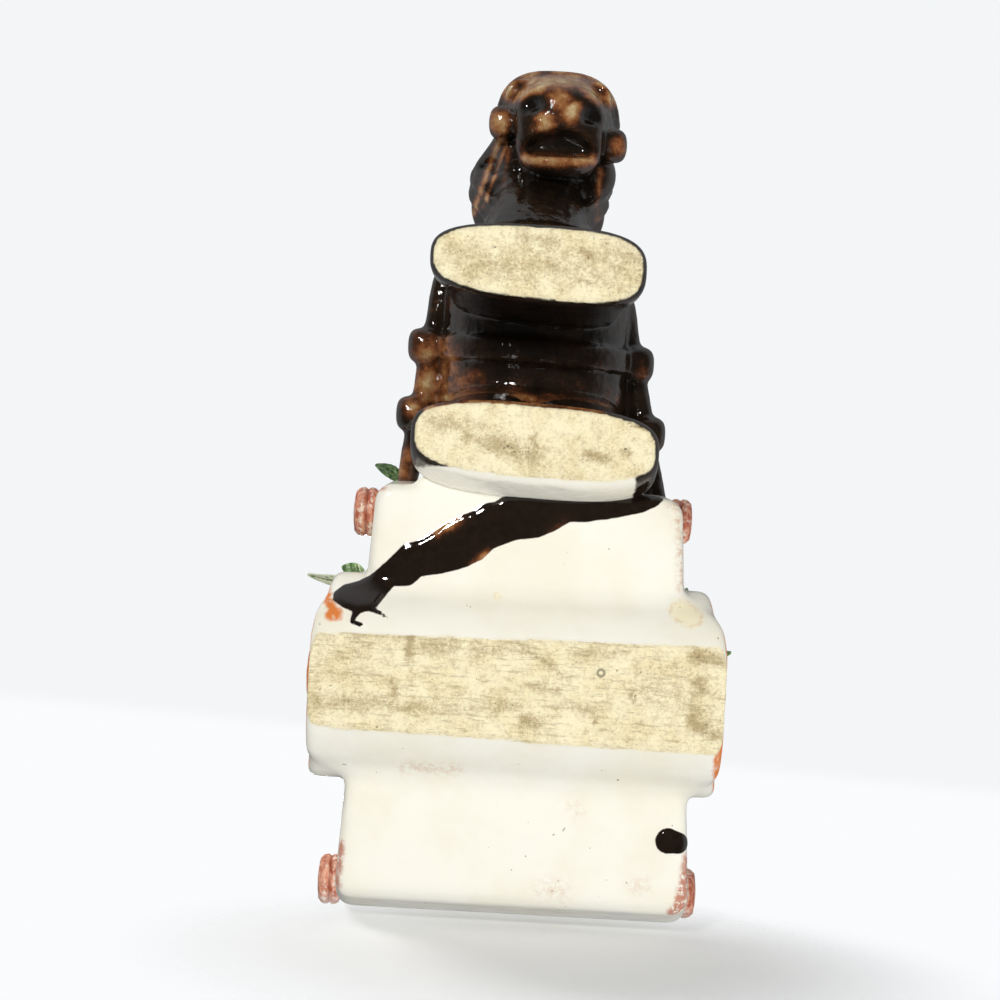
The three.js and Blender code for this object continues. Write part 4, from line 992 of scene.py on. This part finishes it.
def filleted(mesh, rounds):
    """Slip smoothed into the corners between foot block, wheels and box: points near them follow their much
    smoothed place, fading out within a few millimetres."""
    points = mesh_points(mesh)
    f, z = AXLE_Y - points[:, 1], points[:, 2]
    root = math.sqrt(WHEEL_RADIUS**2 - (AXLE_HEIGHT - BOX_CLEARANCE) ** 2)
    near = bell((np.abs(f) - root) / 2.6) * bell((z - BOX_CLEARANCE) / 3.2)
    settle(mesh, points + near[:, None] * (smoothed(mesh, points, rounds) - points))


def ridges(mesh, rounds):
    """How far each point stands out of its smoothed surroundings, in millimetres."""
    points = mesh_points(mesh)
    return ((points - smoothed(mesh, points, rounds)) * mesh_normals(mesh)).sum(axis=1)


# Marks


def set_mark(piece, name, values):
    mark = piece.data.attributes.new(name, "FLOAT", "POINT")
    mark.data.foreach_set("value", np.asarray(values, np.float32))


def from_line(spots, start, stop):
    """Distance of pixels from a straight stretch, and how far along it each one lies."""
    along = np.subtract(stop, start)
    share = np.clip((spots - start) @ along / (along @ along), 0, 1)
    return np.linalg.norm(spots - start - share[:, None] * along, axis=1), share


def stroke(points, pixels):
    """Signed distance in millimetres to a brush stroke, negative inside: the distance to each straight
    stretch, less the half width there."""
    spots, size = in_picture(points)
    pixels = np.asarray(pixels, float)
    best = np.full(len(points), 1e3)
    for start, stop in zip(pixels[:-1], pixels[1:]):
        away, share = from_line(spots, start[:2], stop[:2])
        best = np.minimum(best, away - start[2] - share * (stop[2] - start[2]))
    return best * size


def strokes(points, *lines):
    return np.min([stroke(points, line) for line in lines], axis=0)


def area(points, outline):
    """Signed distance in millimetres to a closed outline, negative inside: a place is inside where a level
    line from it crosses the outline an odd number of times."""
    spots, size = in_picture(points)
    outline = np.asarray(outline, float)
    best, inside = np.full(len(points), 1e3), np.zeros(len(points), bool)
    for start, stop in zip(outline, np.roll(outline, -1, axis=0)):
        best = np.minimum(best, from_line(spots, start, stop)[0])
        level = (start[1] > spots[:, 1]) != (stop[1] > spots[:, 1])
        rise = np.where(level, (spots[:, 1] - start[1]) / (stop[1] - start[1] + 1e-9), 0)
        inside ^= level & (spots[:, 0] < start[0] + rise * (stop[0] - start[0]))
    return np.where(inside, -best, best) * size


def smears(points, marks):
    """Highest of soft bells, each round a pixel or along a straight stretch from pixel to pixel."""
    spots, _ = in_picture(points)
    found = np.zeros(len(points))
    for *ends, reach, amount in marks:
        start, stop = np.array(ends[:2]), np.array(ends[-2:]) + [0.01, 0]
        found = np.maximum(found, amount * bell(from_line(spots, start, stop)[0] / reach))
    return found


# Pieces

CART_NODES = ["cart_box", "wheel_block", "right_wheel", "left_wheel"]
TRIM = {
    "hub": (hub, "orange_paint"), "rail": (rail, "rust_paint"), "front_scroll": (scroll, "rust_paint"),
    "rear_scroll": (scroll, "rust_paint"), "flower": (flower, "orange_paint"),
}
TRIM_NODES = [f"{word}_{part}" for word in ("right", "left") for part in TRIM]
DONKEY_VOXEL = 0.45
CART_VOXEL = 0.6
OFF = 30  # added to a signed distance where a mark may not lie
RUN_RISE = 0.4  # height of the brown glaze above the white, reached over its shoulder
RUN_SHOULDER = 0.9


def finished(piece, nodes):
    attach(piece, "root")
    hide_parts(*nodes)


def donkey():
    """Donkey and harness as one glazed skin, with marks for thin glaze, and for the white glaze of the cart
    that lapped over the rear face of the hind legs."""
    piece = fused("donkey", donkey_surfaces(), DONKEY_VOXEL, 3)
    points = mesh_points(piece.data)
    z = points[:, 2]
    eye_spots = [slanted(placed_head(eye_place(side, 0.4))[None])[0] for side in SIDES]
    pupil = np.min([np.linalg.norm((points - spot) / [1, 1, 0.8], axis=1) for spot in eye_spots], axis=0)
    # The thin mark is thin glaze; on the brow it is partly painted highlight.
    thin = (smears(points, THIN_BROWN + THIN_LINES) - smears(points, NOSTRIL_DARK)) * (z > 18)
    thin = np.where(z < 3, smears(points, HIND_FOOT_LINES), thin)
    set_mark(piece, "thin", thin - 0.9 * np.clip(1.9 - pupil, 0, 1))
    set_mark(piece, "grime", smears(points, GRIME) * (z < 1))
    set_mark(piece, "ridge", ridges(piece.data, 14))
    rear = np.maximum(AXLE_Y - points[:, 1] - RUMP - 0.9, points[:, 0] - 16.6)
    set_mark(piece, "white_lap", np.maximum(rear, z - 22))
    piece.data.materials.append(brown_glaze())
    other_nodes = [*CART_NODES, *TRIM_NODES, *LEAVES]
    finished(piece, [node for node in frame["nodes"] if node not in other_nodes])


def wheel_paint(points, normals):
    """Signed distance to the orange paint, negative inside: the raised face of each wheel, and two laps over
    the tread's edge."""
    f, z = AXLE_Y - points[:, 1], points[:, 2]
    out = np.abs(points[:, 0])
    radius = np.hypot(f, z - AXLE_HEIGHT)
    flat = np.where(points[:, 0] > 0, 0.88, 0.98)
    rim = 8 * np.clip(flat - np.abs(normals[:, 0]), 0, 1) * (radius > WHEEL_RADIUS - 2)
    face = WHEEL_FACE - 0.62 - drawn_in(f) - out + np.where(radius < WHEEL_RADIUS + 0.2, 0, OFF) + rim
    tread = 0.5 * strokes(points, LEFT_ORANGE, RIGHT_ORANGE) + np.where((out > 26) & (z < 14), 0, OFF)
    return np.minimum(face, tread)


def cart():
    """Box, wheels and foot block as one white glazed skin, with the brown glaze lying on its underside."""
    piece = fused("cart", [tub(), wheel(-1), wheel(1), foot_block(), hitch()], CART_VOXEL, 3)
    mesh = piece.data
    filleted(mesh, 60)
    points, normals = mesh_points(mesh), mesh_normals(mesh)
    under = OFF * (1 - (points[:, 2] < 12) * np.clip(-normals[:, 2] / 0.12, 0, 1))
    run = np.minimum(area(points, RUN_OUTLINE), strokes(points, RUN_DRIP, RUN_BRANCH)) + under
    spot = stroke(points, BROWN_SPOT) + under
    lying = np.clip(-np.minimum(run, spot) / RUN_SHOULDER, 0, 1)
    points += normals * (RUN_RISE * lying * (2 - lying))[:, None]
    points[:, 2] = np.maximum(points[:, 2], 0)
    set_points(mesh, points)
    z = points[:, 2]
    skip = np.minimum(stroke(points, YELLOW_SKIP), stroke(points, PALE_SPOT) + 0.8)
    wear = strokes(points, *EDGE_WEAR) + np.clip(z - BOX_CLEARANCE - BOX_EDGE, 0, OFF)
    marks = {
        "run": run, "run_thin": smears(points, RUN_THIN), "spot": spot, "skip": skip + under,
        "rust_wear": wear, "blush": smears(points, PINK_BLUSH) * (under < 1),
        "grime": smears(points, GRIME) * (z < 2), "orange": wheel_paint(points, normals),
        "ridge": ridges(mesh, 12),
    }
    for name, values in marks.items():
        set_mark(piece, name, values)
    mesh.materials.append(white_glaze())
    finished(piece, CART_NODES)


def trim():
    """Hubs, rails, scrolls, flowers and leaves, each a surface of its own in its paint."""
    paints = {name: worn_paint(name) for name in PAINTS}

    def painted(node, surface, slot, pale=0.0):
        piece = mesh_object("painted_" + node, [surface])
        set_mark(piece, "ridge", ridges(piece.data, 6) + pale)
        piece.data.materials.append(paints[slot])
        finished(piece, [node])

    for side, word in ((1, "right"), (-1, "left")):
        for part, (make, slot) in TRIM.items():
            painted(f"{word}_{part}", make(f"{word}_{part}", side), slot)
    for node in LEAVES:
        painted(node, leaf(node), "green_paint", LEAF_PALE.get(node, 0))


# Finishes


def tone(red, green, blue):
    """A colour as the eye reads it, 0 to 255, as the linear light that a shader takes."""
    share = np.array([red, green, blue]) / 255
    light = np.where(share < 0.04045, share / 12.92, ((share + 0.055) / 1.055) ** 2.4)
    return (*light, 1.0)


class Nodes:
    """Node tree with short words for the nodes that the finishes and the room share."""

    def __init__(self, tree):
        self.tree = tree

    def put(self, socket, value):
        if isinstance(value, bpy.types.NodeSocket):
            self.tree.links.new(value, socket)
        else:
            socket.default_value = value

    def fill(self, node, inputs):
        for key, value in inputs.items():
            self.put(node.inputs[key], value)
        return node

    def add(self, kind, inputs=(), **settings):
        node = self.tree.nodes.new(kind)
        for key, value in settings.items():
            setattr(node, key, value)
        return self.fill(node, dict(inputs))

    def math(self, operation, a, b=0.0, c=0.0):
        return self.add("ShaderNodeMath", {0: a, 1: b, 2: c}, operation=operation).outputs[0]

    def times(self, a, b):
        return self.math("MULTIPLY", a, b)

    def plus(self, base, more, share=1.0):
        """The base and a share of more."""
        return self.math("MULTIPLY_ADD", more, share, base)

    def waver(self, value, noise, amount):
        """The value moved either way by noise, by half the amount at most."""
        return self.plus(value, self.plus(noise, -0.5), amount)

    def vector(self, operation, a, b):
        """Number that two vectors give, such as their distance."""
        return self.add("ShaderNodeVectorMath", {0: a, 1: tuple(b)}, operation=operation).outputs["Value"]

    def upright(self, a):
        return self.add("ShaderNodeSeparateXYZ", {"Vector": a}).outputs["Z"]

    def ease(self, value, low, high, start=0.0, stop=1.0):
        """Smooth step of a value from `start` at `low` to `stop` at `high`."""
        made = {"Value": value, "From Min": low, "From Max": high, "To Min": start, "To Max": stop}
        return self.add("ShaderNodeMapRange", made, interpolation_type="SMOOTHSTEP").outputs["Result"]

    def mix(self, share, a, b):
        """Colour between two colours."""
        return self.add("ShaderNodeMix", {0: share, 6: a, 7: b}, data_type="RGBA").outputs[2]

    def blend(self, share, a, b):
        """Number between two numbers."""
        return self.add("ShaderNodeMix", {0: share, 2: a, 3: b}, data_type="FLOAT").outputs[0]


class Finish(Nodes):
    """Node tree of one material, on the marks and places of its piece."""

    def __init__(self, name):
        self.material = bpy.data.materials.new(name)
        self.material.use_nodes = True
        super().__init__(self.material.node_tree)
        self.shader = self.tree.nodes["Principled BSDF"]
        self.place = self.add("ShaderNodeTexCoord").outputs["Object"]

    def mark(self, name):
        return self.add("ShaderNodeAttribute", attribute_name=name).outputs["Fac"]

    def noise(self, grain, detail=3.0, roughness=0.55, stretch=(1, 1, 1)):
        """Noise whose patches are about `grain` millimetres across."""
        scale = tuple(part / (grain * MM) for part in stretch)
        place = self.add("ShaderNodeMapping", {"Vector": self.place, "Scale": scale}).outputs["Vector"]
        made = {"Vector": place, "Scale": 1.0, "Detail": detail, "Roughness": roughness}
        return self.add("ShaderNodeTexNoise", made).outputs["Fac"]

    def patch(self, name, waver, grain=1.6, soft=0.12):
        """Mask of a mark: 1 where its signed distance, wavered by noise, is below nought."""
        return self.ease(self.waver(self.mark(name), self.noise(grain, 4.0), waver), -soft, soft, 1.0, 0.0)

    def ramp(self, value, stops):
        node = self.add("ShaderNodeValToRGB", {"Fac": value})
        band = node.color_ramp
        for place, _ in stops[:-2]:
            band.elements.new(place)
        for element, (place, colour) in zip(band.elements, stops):
            element.position = place
            element.color = colour
        return node.outputs["Color"]

    def finish(self, colour, roughness, bump, depth):
        """Colour, roughness and a bump of `depth` millimetres into the shader."""
        made = {"Height": bump, "Distance": depth * MM, "Strength": 1.0}
        normal = self.add("ShaderNodeBump", made).outputs["Normal"]
        self.fill(self.shader, {"Base Color": colour, "Roughness": roughness, "Normal": normal})
        return self.material


def bare_clay(make, streak):
    """Unglazed cream clay with grey and olive grime: mottled films, fine grit that thickens in them, rubbed
    streaks and dark specks."""
    cloud = make.noise(5, 4.0)
    grime = make.waver(make.mark("grime"), cloud, 0.8)
    mottle = make.plus(make.noise(0.6, 8.0, 0.85), make.noise(1.9, 4.0), 0.45)
    grit = make.plus(make.noise(0.42, 5.0, 0.75), cloud, 0.12)
    rub = make.noise(0.6, 4.0, 0.7, (0.16, 1, 1))
    films = (  # pattern, share of the grime in it, where it starts and is full, its amount and colour
        (mottle, 0.22, 0.66, 1.0, 0.85, tone(180, 157, 114)),
        (grit, 0.1, 0.62, 0.74, 0.6, tone(150, 134, 100)),
        (rub, 0.1, 0.52, 0.68, streak, tone(170, 152, 110)),
        (make.noise(0.75, 2.0), 0.1, 0.71, 0.77, 0.8, tone(88, 84, 58)),
    )
    colour = make.mix(make.ease(cloud, 0.4, 0.7, 0.0, 0.6), tone(246, 236, 199), tone(236, 219, 170))
    for pattern, share, low, high, amount, film in films:
        colour = make.mix(make.ease(make.plus(pattern, grime, share), low, high, 0.0, amount), colour, film)
    return colour


def foot_mask(make):
    """1 on the flat that stands on the table, out to a wavering line where the glaze was wiped back."""
    height = make.waver(make.upright(make.place), make.noise(2.5, 4.0), 0.6 * MM)
    return make.ease(height, 0.2 * MM, 0.5 * MM, 1.0, 0.0)


def white_base(make):
    """Warm white glaze: faint cream clouds, grey painted shade in the hollows, and a few pinholes."""
    cloud = make.ease(make.noise(14, 3.0), 0.4, 0.7, 0.0, 0.5)
    colour = make.mix(cloud, tone(249, 246, 233), tone(240, 233, 207))
    # Painted shade: the white turns grey where the surface lies in a hollow.
    hollow_shade = make.ease(make.mark("ridge"), -0.06, -0.4, 0.0, 0.3)
    colour = make.mix(hollow_shade, colour, tone(214, 208, 190))
    pin = make.ease(make.noise(0.9, 1.0), 0.785, 0.8, 0.0, 0.7)
    return make.mix(pin, colour, tone(120, 106, 78))


def brown_body(make, thin):
    """Brown glaze by thickness: near black where it pools, red brown, orange and tan where it runs thin."""
    return make.ramp(thin, [
        (0.0, tone(20, 16, 12)), (0.34, tone(42, 30, 21)), (0.52, tone(84, 48, 29)),
        (0.68, tone(138, 86, 50)), (0.84, tone(166, 127, 84)), (1.0, tone(198, 172, 130)),
    ])


def brown_glaze():
    """Glossy brown glaze on the donkey, bare clay under the feet and white glaze lapped on the hind legs."""
    make = Finish("brown_glaze")
    blotch = make.noise(3.2, 5.0, 0.65)
    streak = make.noise(0.9, 5.0, 0.7, (1, 1, 0.4))
    thin = make.plus(make.mark("thin"), make.math("MINIMUM", make.mark("ridge"), 0.4), 0.6)
    for pattern, amount in ((blotch, 0.85), (streak, 0.5), (make.noise(9, 2.0), 0.4)):
        thin = make.waver(thin, pattern, amount)
    colour = brown_body(make, make.plus(thin, 0.1))
    colour = make.mix(make.patch("white_lap", 1.6, 3.0, 0.25), colour, white_base(make))
    bare = foot_mask(make)
    colour = make.mix(bare, colour, bare_clay(make, 0.12))
    rough = make.blend(bare, make.ease(blotch, 0.3, 0.7, 0.04, 0.11), 0.9)
    return make.finish(colour, rough, make.plus(make.noise(3.4, 2.0), make.noise(1.1, 3.0), 0.3), 0.3)


def white_glaze():
    """White glaze on the cart, with the brown run and spot, orange and rust paint, and bare clay where it
    stands."""
    make = Finish("white_glaze")
    colour = white_base(make)
    scuff = make.ease(make.noise(0.9, 5.0, 0.7), 0.42, 0.6)
    colour = make.mix(make.times(make.times(make.mark("blush"), scuff), 0.5), colour, tone(218, 182, 154))
    skip = make.patch("skip", 1.2, 2.2, 0.9)
    colour = make.mix(make.times(skip, 0.6), colour, tone(252, 238, 190))
    rim = make.ease(make.math("ABSOLUTE", make.plus(make.mark("skip"), 0.1)), 0.05, 0.6, 0.45, 0.0)
    colour = make.mix(make.times(rim, scuff), colour, tone(222, 184, 128))
    rubbed = make.ease(make.noise(0.8, 5.0, 0.7), 0.38, 0.52)
    wear = make.times(make.patch("rust_wear", 1.4, 1.6, 0.5), rubbed)
    colour = make.mix(make.times(wear, 0.85), colour, tone(190, 104, 74))
    brush = make.ease(make.noise(0.9, 4.0, 0.6, (1, 0.3, 1)), 0.28, 0.5, 0.55, 1.0)
    orange = make.times(make.patch("orange", 0.9, 1.6, 0.22), brush)
    colour = make.mix(orange, colour, tone(226, 128, 52))
    glaze = make.math("MAXIMUM", make.patch("run", 0.5, 3.2, 0.1), make.patch("spot", 0.25, 2.0, 0.1))
    edge = make.ease(make.plus(make.mark("run"), make.noise(1.5, 4.0, 0.7), 2.4), -1.5, 1.0)
    mottle = make.times(make.noise(1.2, 5.0, 0.7), 0.5)
    thin = make.plus(mottle, make.times(make.mark("run_thin"), edge), 0.8)
    colour = make.mix(glaze, colour, brown_body(make, make.plus(thin, -0.12)))
    bare = make.times(foot_mask(make), make.math("SUBTRACT", 1.0, glaze))
    colour = make.mix(bare, colour, bare_clay(make, 0.55))
    away = make.vector("DISTANCE", make.place, seen(RING_MARK, 0) * MM)
    off_ring = make.math("ABSOLUTE", make.plus(away, -RING_RADIUS * MM))
    colour = make.mix(make.ease(off_ring, 0.08 * MM, 0.32 * MM, 0.75, 0.0), colour, tone(112, 106, 84))
    shine = make.ease(make.noise(5, 3.0), 0.3, 0.7, 0.09, 0.2)
    rough = make.blend(bare, make.blend(glaze, make.blend(orange, shine, 0.45), 0.05), 0.92)
    return make.finish(colour, rough, make.plus(make.noise(6, 2.0), make.noise(1.2, 3.0), 0.12), 0.25)


PAINTS = {  # deep and pale strokes, the ground under them, and how far out a ridge stands that shows it
    "rust_paint": ((184, 94, 66), (236, 172, 142), (244, 222, 204), 0.33),
    "orange_paint": ((206, 98, 30), (236, 148, 66), (246, 226, 196), 0.45),
    "green_paint": ((72, 104, 56), (150, 184, 126), (214, 224, 194), 0.44),
}


def worn_paint(name):
    """Brushed colour over white glaze: streaky, with painted shade in the hollows, and rubbed through on the
    ridges.
    """
    *colours, wear = PAINTS[name]
    deep, pale, ground = (tone(*colour) for colour in colours)
    make = Finish(name)
    brush = make.noise(0.9, 4.0, 0.65, (1, 0.35, 1))
    colour = make.mix(make.ease(brush, 0.36, 0.66), deep, pale)
    # Painted shade: the paint turns darker in the hollows.
    paint_shade = make.ease(make.mark("ridge"), 0.02, -0.16)
    dark = (*(0.45 * part for part in deep[:3]), 1.0)
    colour = make.mix(make.times(paint_shade, 0.65), colour, dark)
    rubbed = make.plus(make.mark("ridge"), make.noise(1.1, 5.0, 0.7), 0.5)
    colour = make.mix(make.ease(rubbed, wear, wear + 0.07), colour, ground)
    rough = make.ease(brush, 0.3, 0.7, 0.16, 0.4)
    return make.finish(colour, rough, make.plus(brush, make.noise(2.4, 2.0)), 0.12)


# Picture: camera, stage and light

SENSOR = 36
WHITE_ROOM = 0.93
WHITE_TABLE = 0.985
WARE_LIGHT = 0.42
BACKDROP = (0.97, 0.985, 1.0, 1.0)
TABLE_SLOPE = 0.098
TABLE_DROP = 0.095
FLOOR_REACH = 2500
CARD_HALF = 140
CARD_LEVELS = {-1: -120, 1: 90}
CARD_GAP = 0.15
LAMP_AIM = (0, 0, 20)
LAMPS = {  # place, size, watts, colour, and whether the glaze mirrors it
    "window": ((-150, -200, -440), 55, 1.25, (1.0, 0.98, 0.95), True),
    "room_fill": ((260, 260, -400), 320, 1.2, (0.98, 0.98, 1.0), False),
    "upper_left": ((-420, -380, 520), 300, 3.2, (1.0, 0.98, 0.95), False),
    "upper_right": ((480, 220, 480), 320, 1.6, (0.96, 0.98, 1.0), False),
    "overhead": ((-60, 110, 700), 90, 0.5, (1.0, 0.99, 0.97), True),
}


def posed(name, data, axes, place):
    """Camera or lamp at a place in millimetres, with its right, its top and its back along the axes."""
    found = linked(name, data)
    columns = np.column_stack([*axes, np.array(place, float) * MM])
    found.matrix_world = Matrix(np.vstack([columns, [0, 0, 0, 1]]).tolist())
    return found


def camera():
    """Camera under the planter, looking up at its feet, rolled as the picture is."""
    eye = bpy.data.cameras.new("camera")
    eye.sensor_width = SENSOR
    eye.lens = SENSOR * CAMERA_AWAY / (PIXEL * PICTURE_SIZE)
    eye.clip_start = 0.01
    axes = PICTURE_RIGHT, PICTURE_UP, PICTURE_BACK
    scene.camera = posed("camera", eye, axes, PICTURE_MIDDLE + PICTURE_BACK * CAMERA_AWAY)


def stage_plane(name, corners, middle, near, far, glow):
    """Pale card that only its front side shows. Past `near` millimetres from the middle it fades to what lies
    behind it, or with a glow to an even white."""
    mesh = bpy.data.meshes.new(name)
    mesh.from_pydata(np.array(corners) * MM, [], [list(range(len(corners)))])
    card = linked(name, mesh)
    make = Finish(name)
    make.fill(make.shader, {"Base Color": tone(238, 239, 240), "Roughness": 0.95, "Specular IOR Level": 0.1})
    clear = make.add("ShaderNodeBsdfTransparent").outputs["BSDF"]
    beyond = clear
    if glow:
        beyond = make.add("ShaderNodeEmission", {"Color": BACKDROP, "Strength": glow}).outputs["Emission"]
    fade = make.ease(make.vector("DISTANCE", make.place, np.array(middle) * MM), near * MM, far * MM)
    shown = make.add("ShaderNodeMixShader", {0: fade, 1: make.shader.outputs["BSDF"], 2: beyond}).outputs[0]
    back = make.add("ShaderNodeNewGeometry").outputs["Backfacing"]
    shown = make.add("ShaderNodeMixShader", {0: back, 1: shown, 2: clear}).outputs[0]
    make.put(make.tree.nodes["Material Output"].inputs["Surface"], shown)
    mesh.materials.append(make.material)
    card.visible_shadow = False
    card.visible_diffuse = False
    card.visible_glossy = False


def stage():
    """Floor under the feet, and a card under the tail of the cart, on which the picture stands it."""
    ends = ((-1, -1), (1, -1), (1, 1), (-1, 1))
    floor = [(x * FLOOR_REACH, y * FLOOR_REACH, 0) for x, y in ends]
    stage_plane("floor", floor, (0, 0, 0), 110, 420, WHITE_ROOM)
    tail_end = node_box("cart_box")[1][1] + CARD_GAP
    card = [(x * CARD_HALF, tail_end, CARD_LEVELS[z]) for x, z in ends]
    stage_plane("table_card", card, (6, tail_end, -18), 20, 72, 0)


def lamp(name, place, size, power, colour, mirrored):
    """Round soft box turned to its aim, in millimetres and watts."""
    box = bpy.data.lights.new(name, "AREA")
    box.shape = "DISK"
    box.size = size * MM
    box.energy = power
    box.color = colour
    back = unit(np.subtract(place, LAMP_AIM))
    right = unit(np.cross([0, 1, 0], back))
    found = posed(name, box, (right, np.cross(back, right), back), place)
    found.visible_camera = False
    found.visible_glossy = mirrored


def world():
    """Pale room: white to the eye, even light on the ware, and in the glaze a bright room above a dim floor.
    Behind the picture a whiter table ends at a slanting line."""
    room = bpy.data.worlds.new("room")
    scene.world = room
    room.use_nodes = True
    make = Nodes(room.node_tree)
    path = make.add("ShaderNodeLightPath").outputs
    way = make.add("ShaderNodeTexCoord").outputs["Generated"]
    climb = make.upright(way)
    line = PICTURE_UP + TABLE_SLOPE * PICTURE_RIGHT + TABLE_DROP * np.array([0, 0, 1.0])
    below = make.ease(make.vector("DOT_PRODUCT", way, line), 0.004, -0.004)
    backdrop = make.blend(make.times(below, make.ease(climb, 0.6, 0.8)), WHITE_ROOM, WHITE_TABLE)
    rise, fall = make.ease(climb, -0.6, 0.15, 0.045, 0.6), make.ease(climb, 0.3, 0.95, 1.0, 0.4)
    ware = make.blend(path["Is Glossy Ray"], WARE_LIGHT, make.times(rise, fall))
    strength = make.blend(path["Is Camera Ray"], ware, backdrop)
    make.fill(make.tree.nodes["Background"], {"Strength": strength, "Color": BACKDROP})


camera()
donkey()
cart()
trim()
stage()
world()
for name, settings in LAMPS.items():
    lamp(name, *settings)
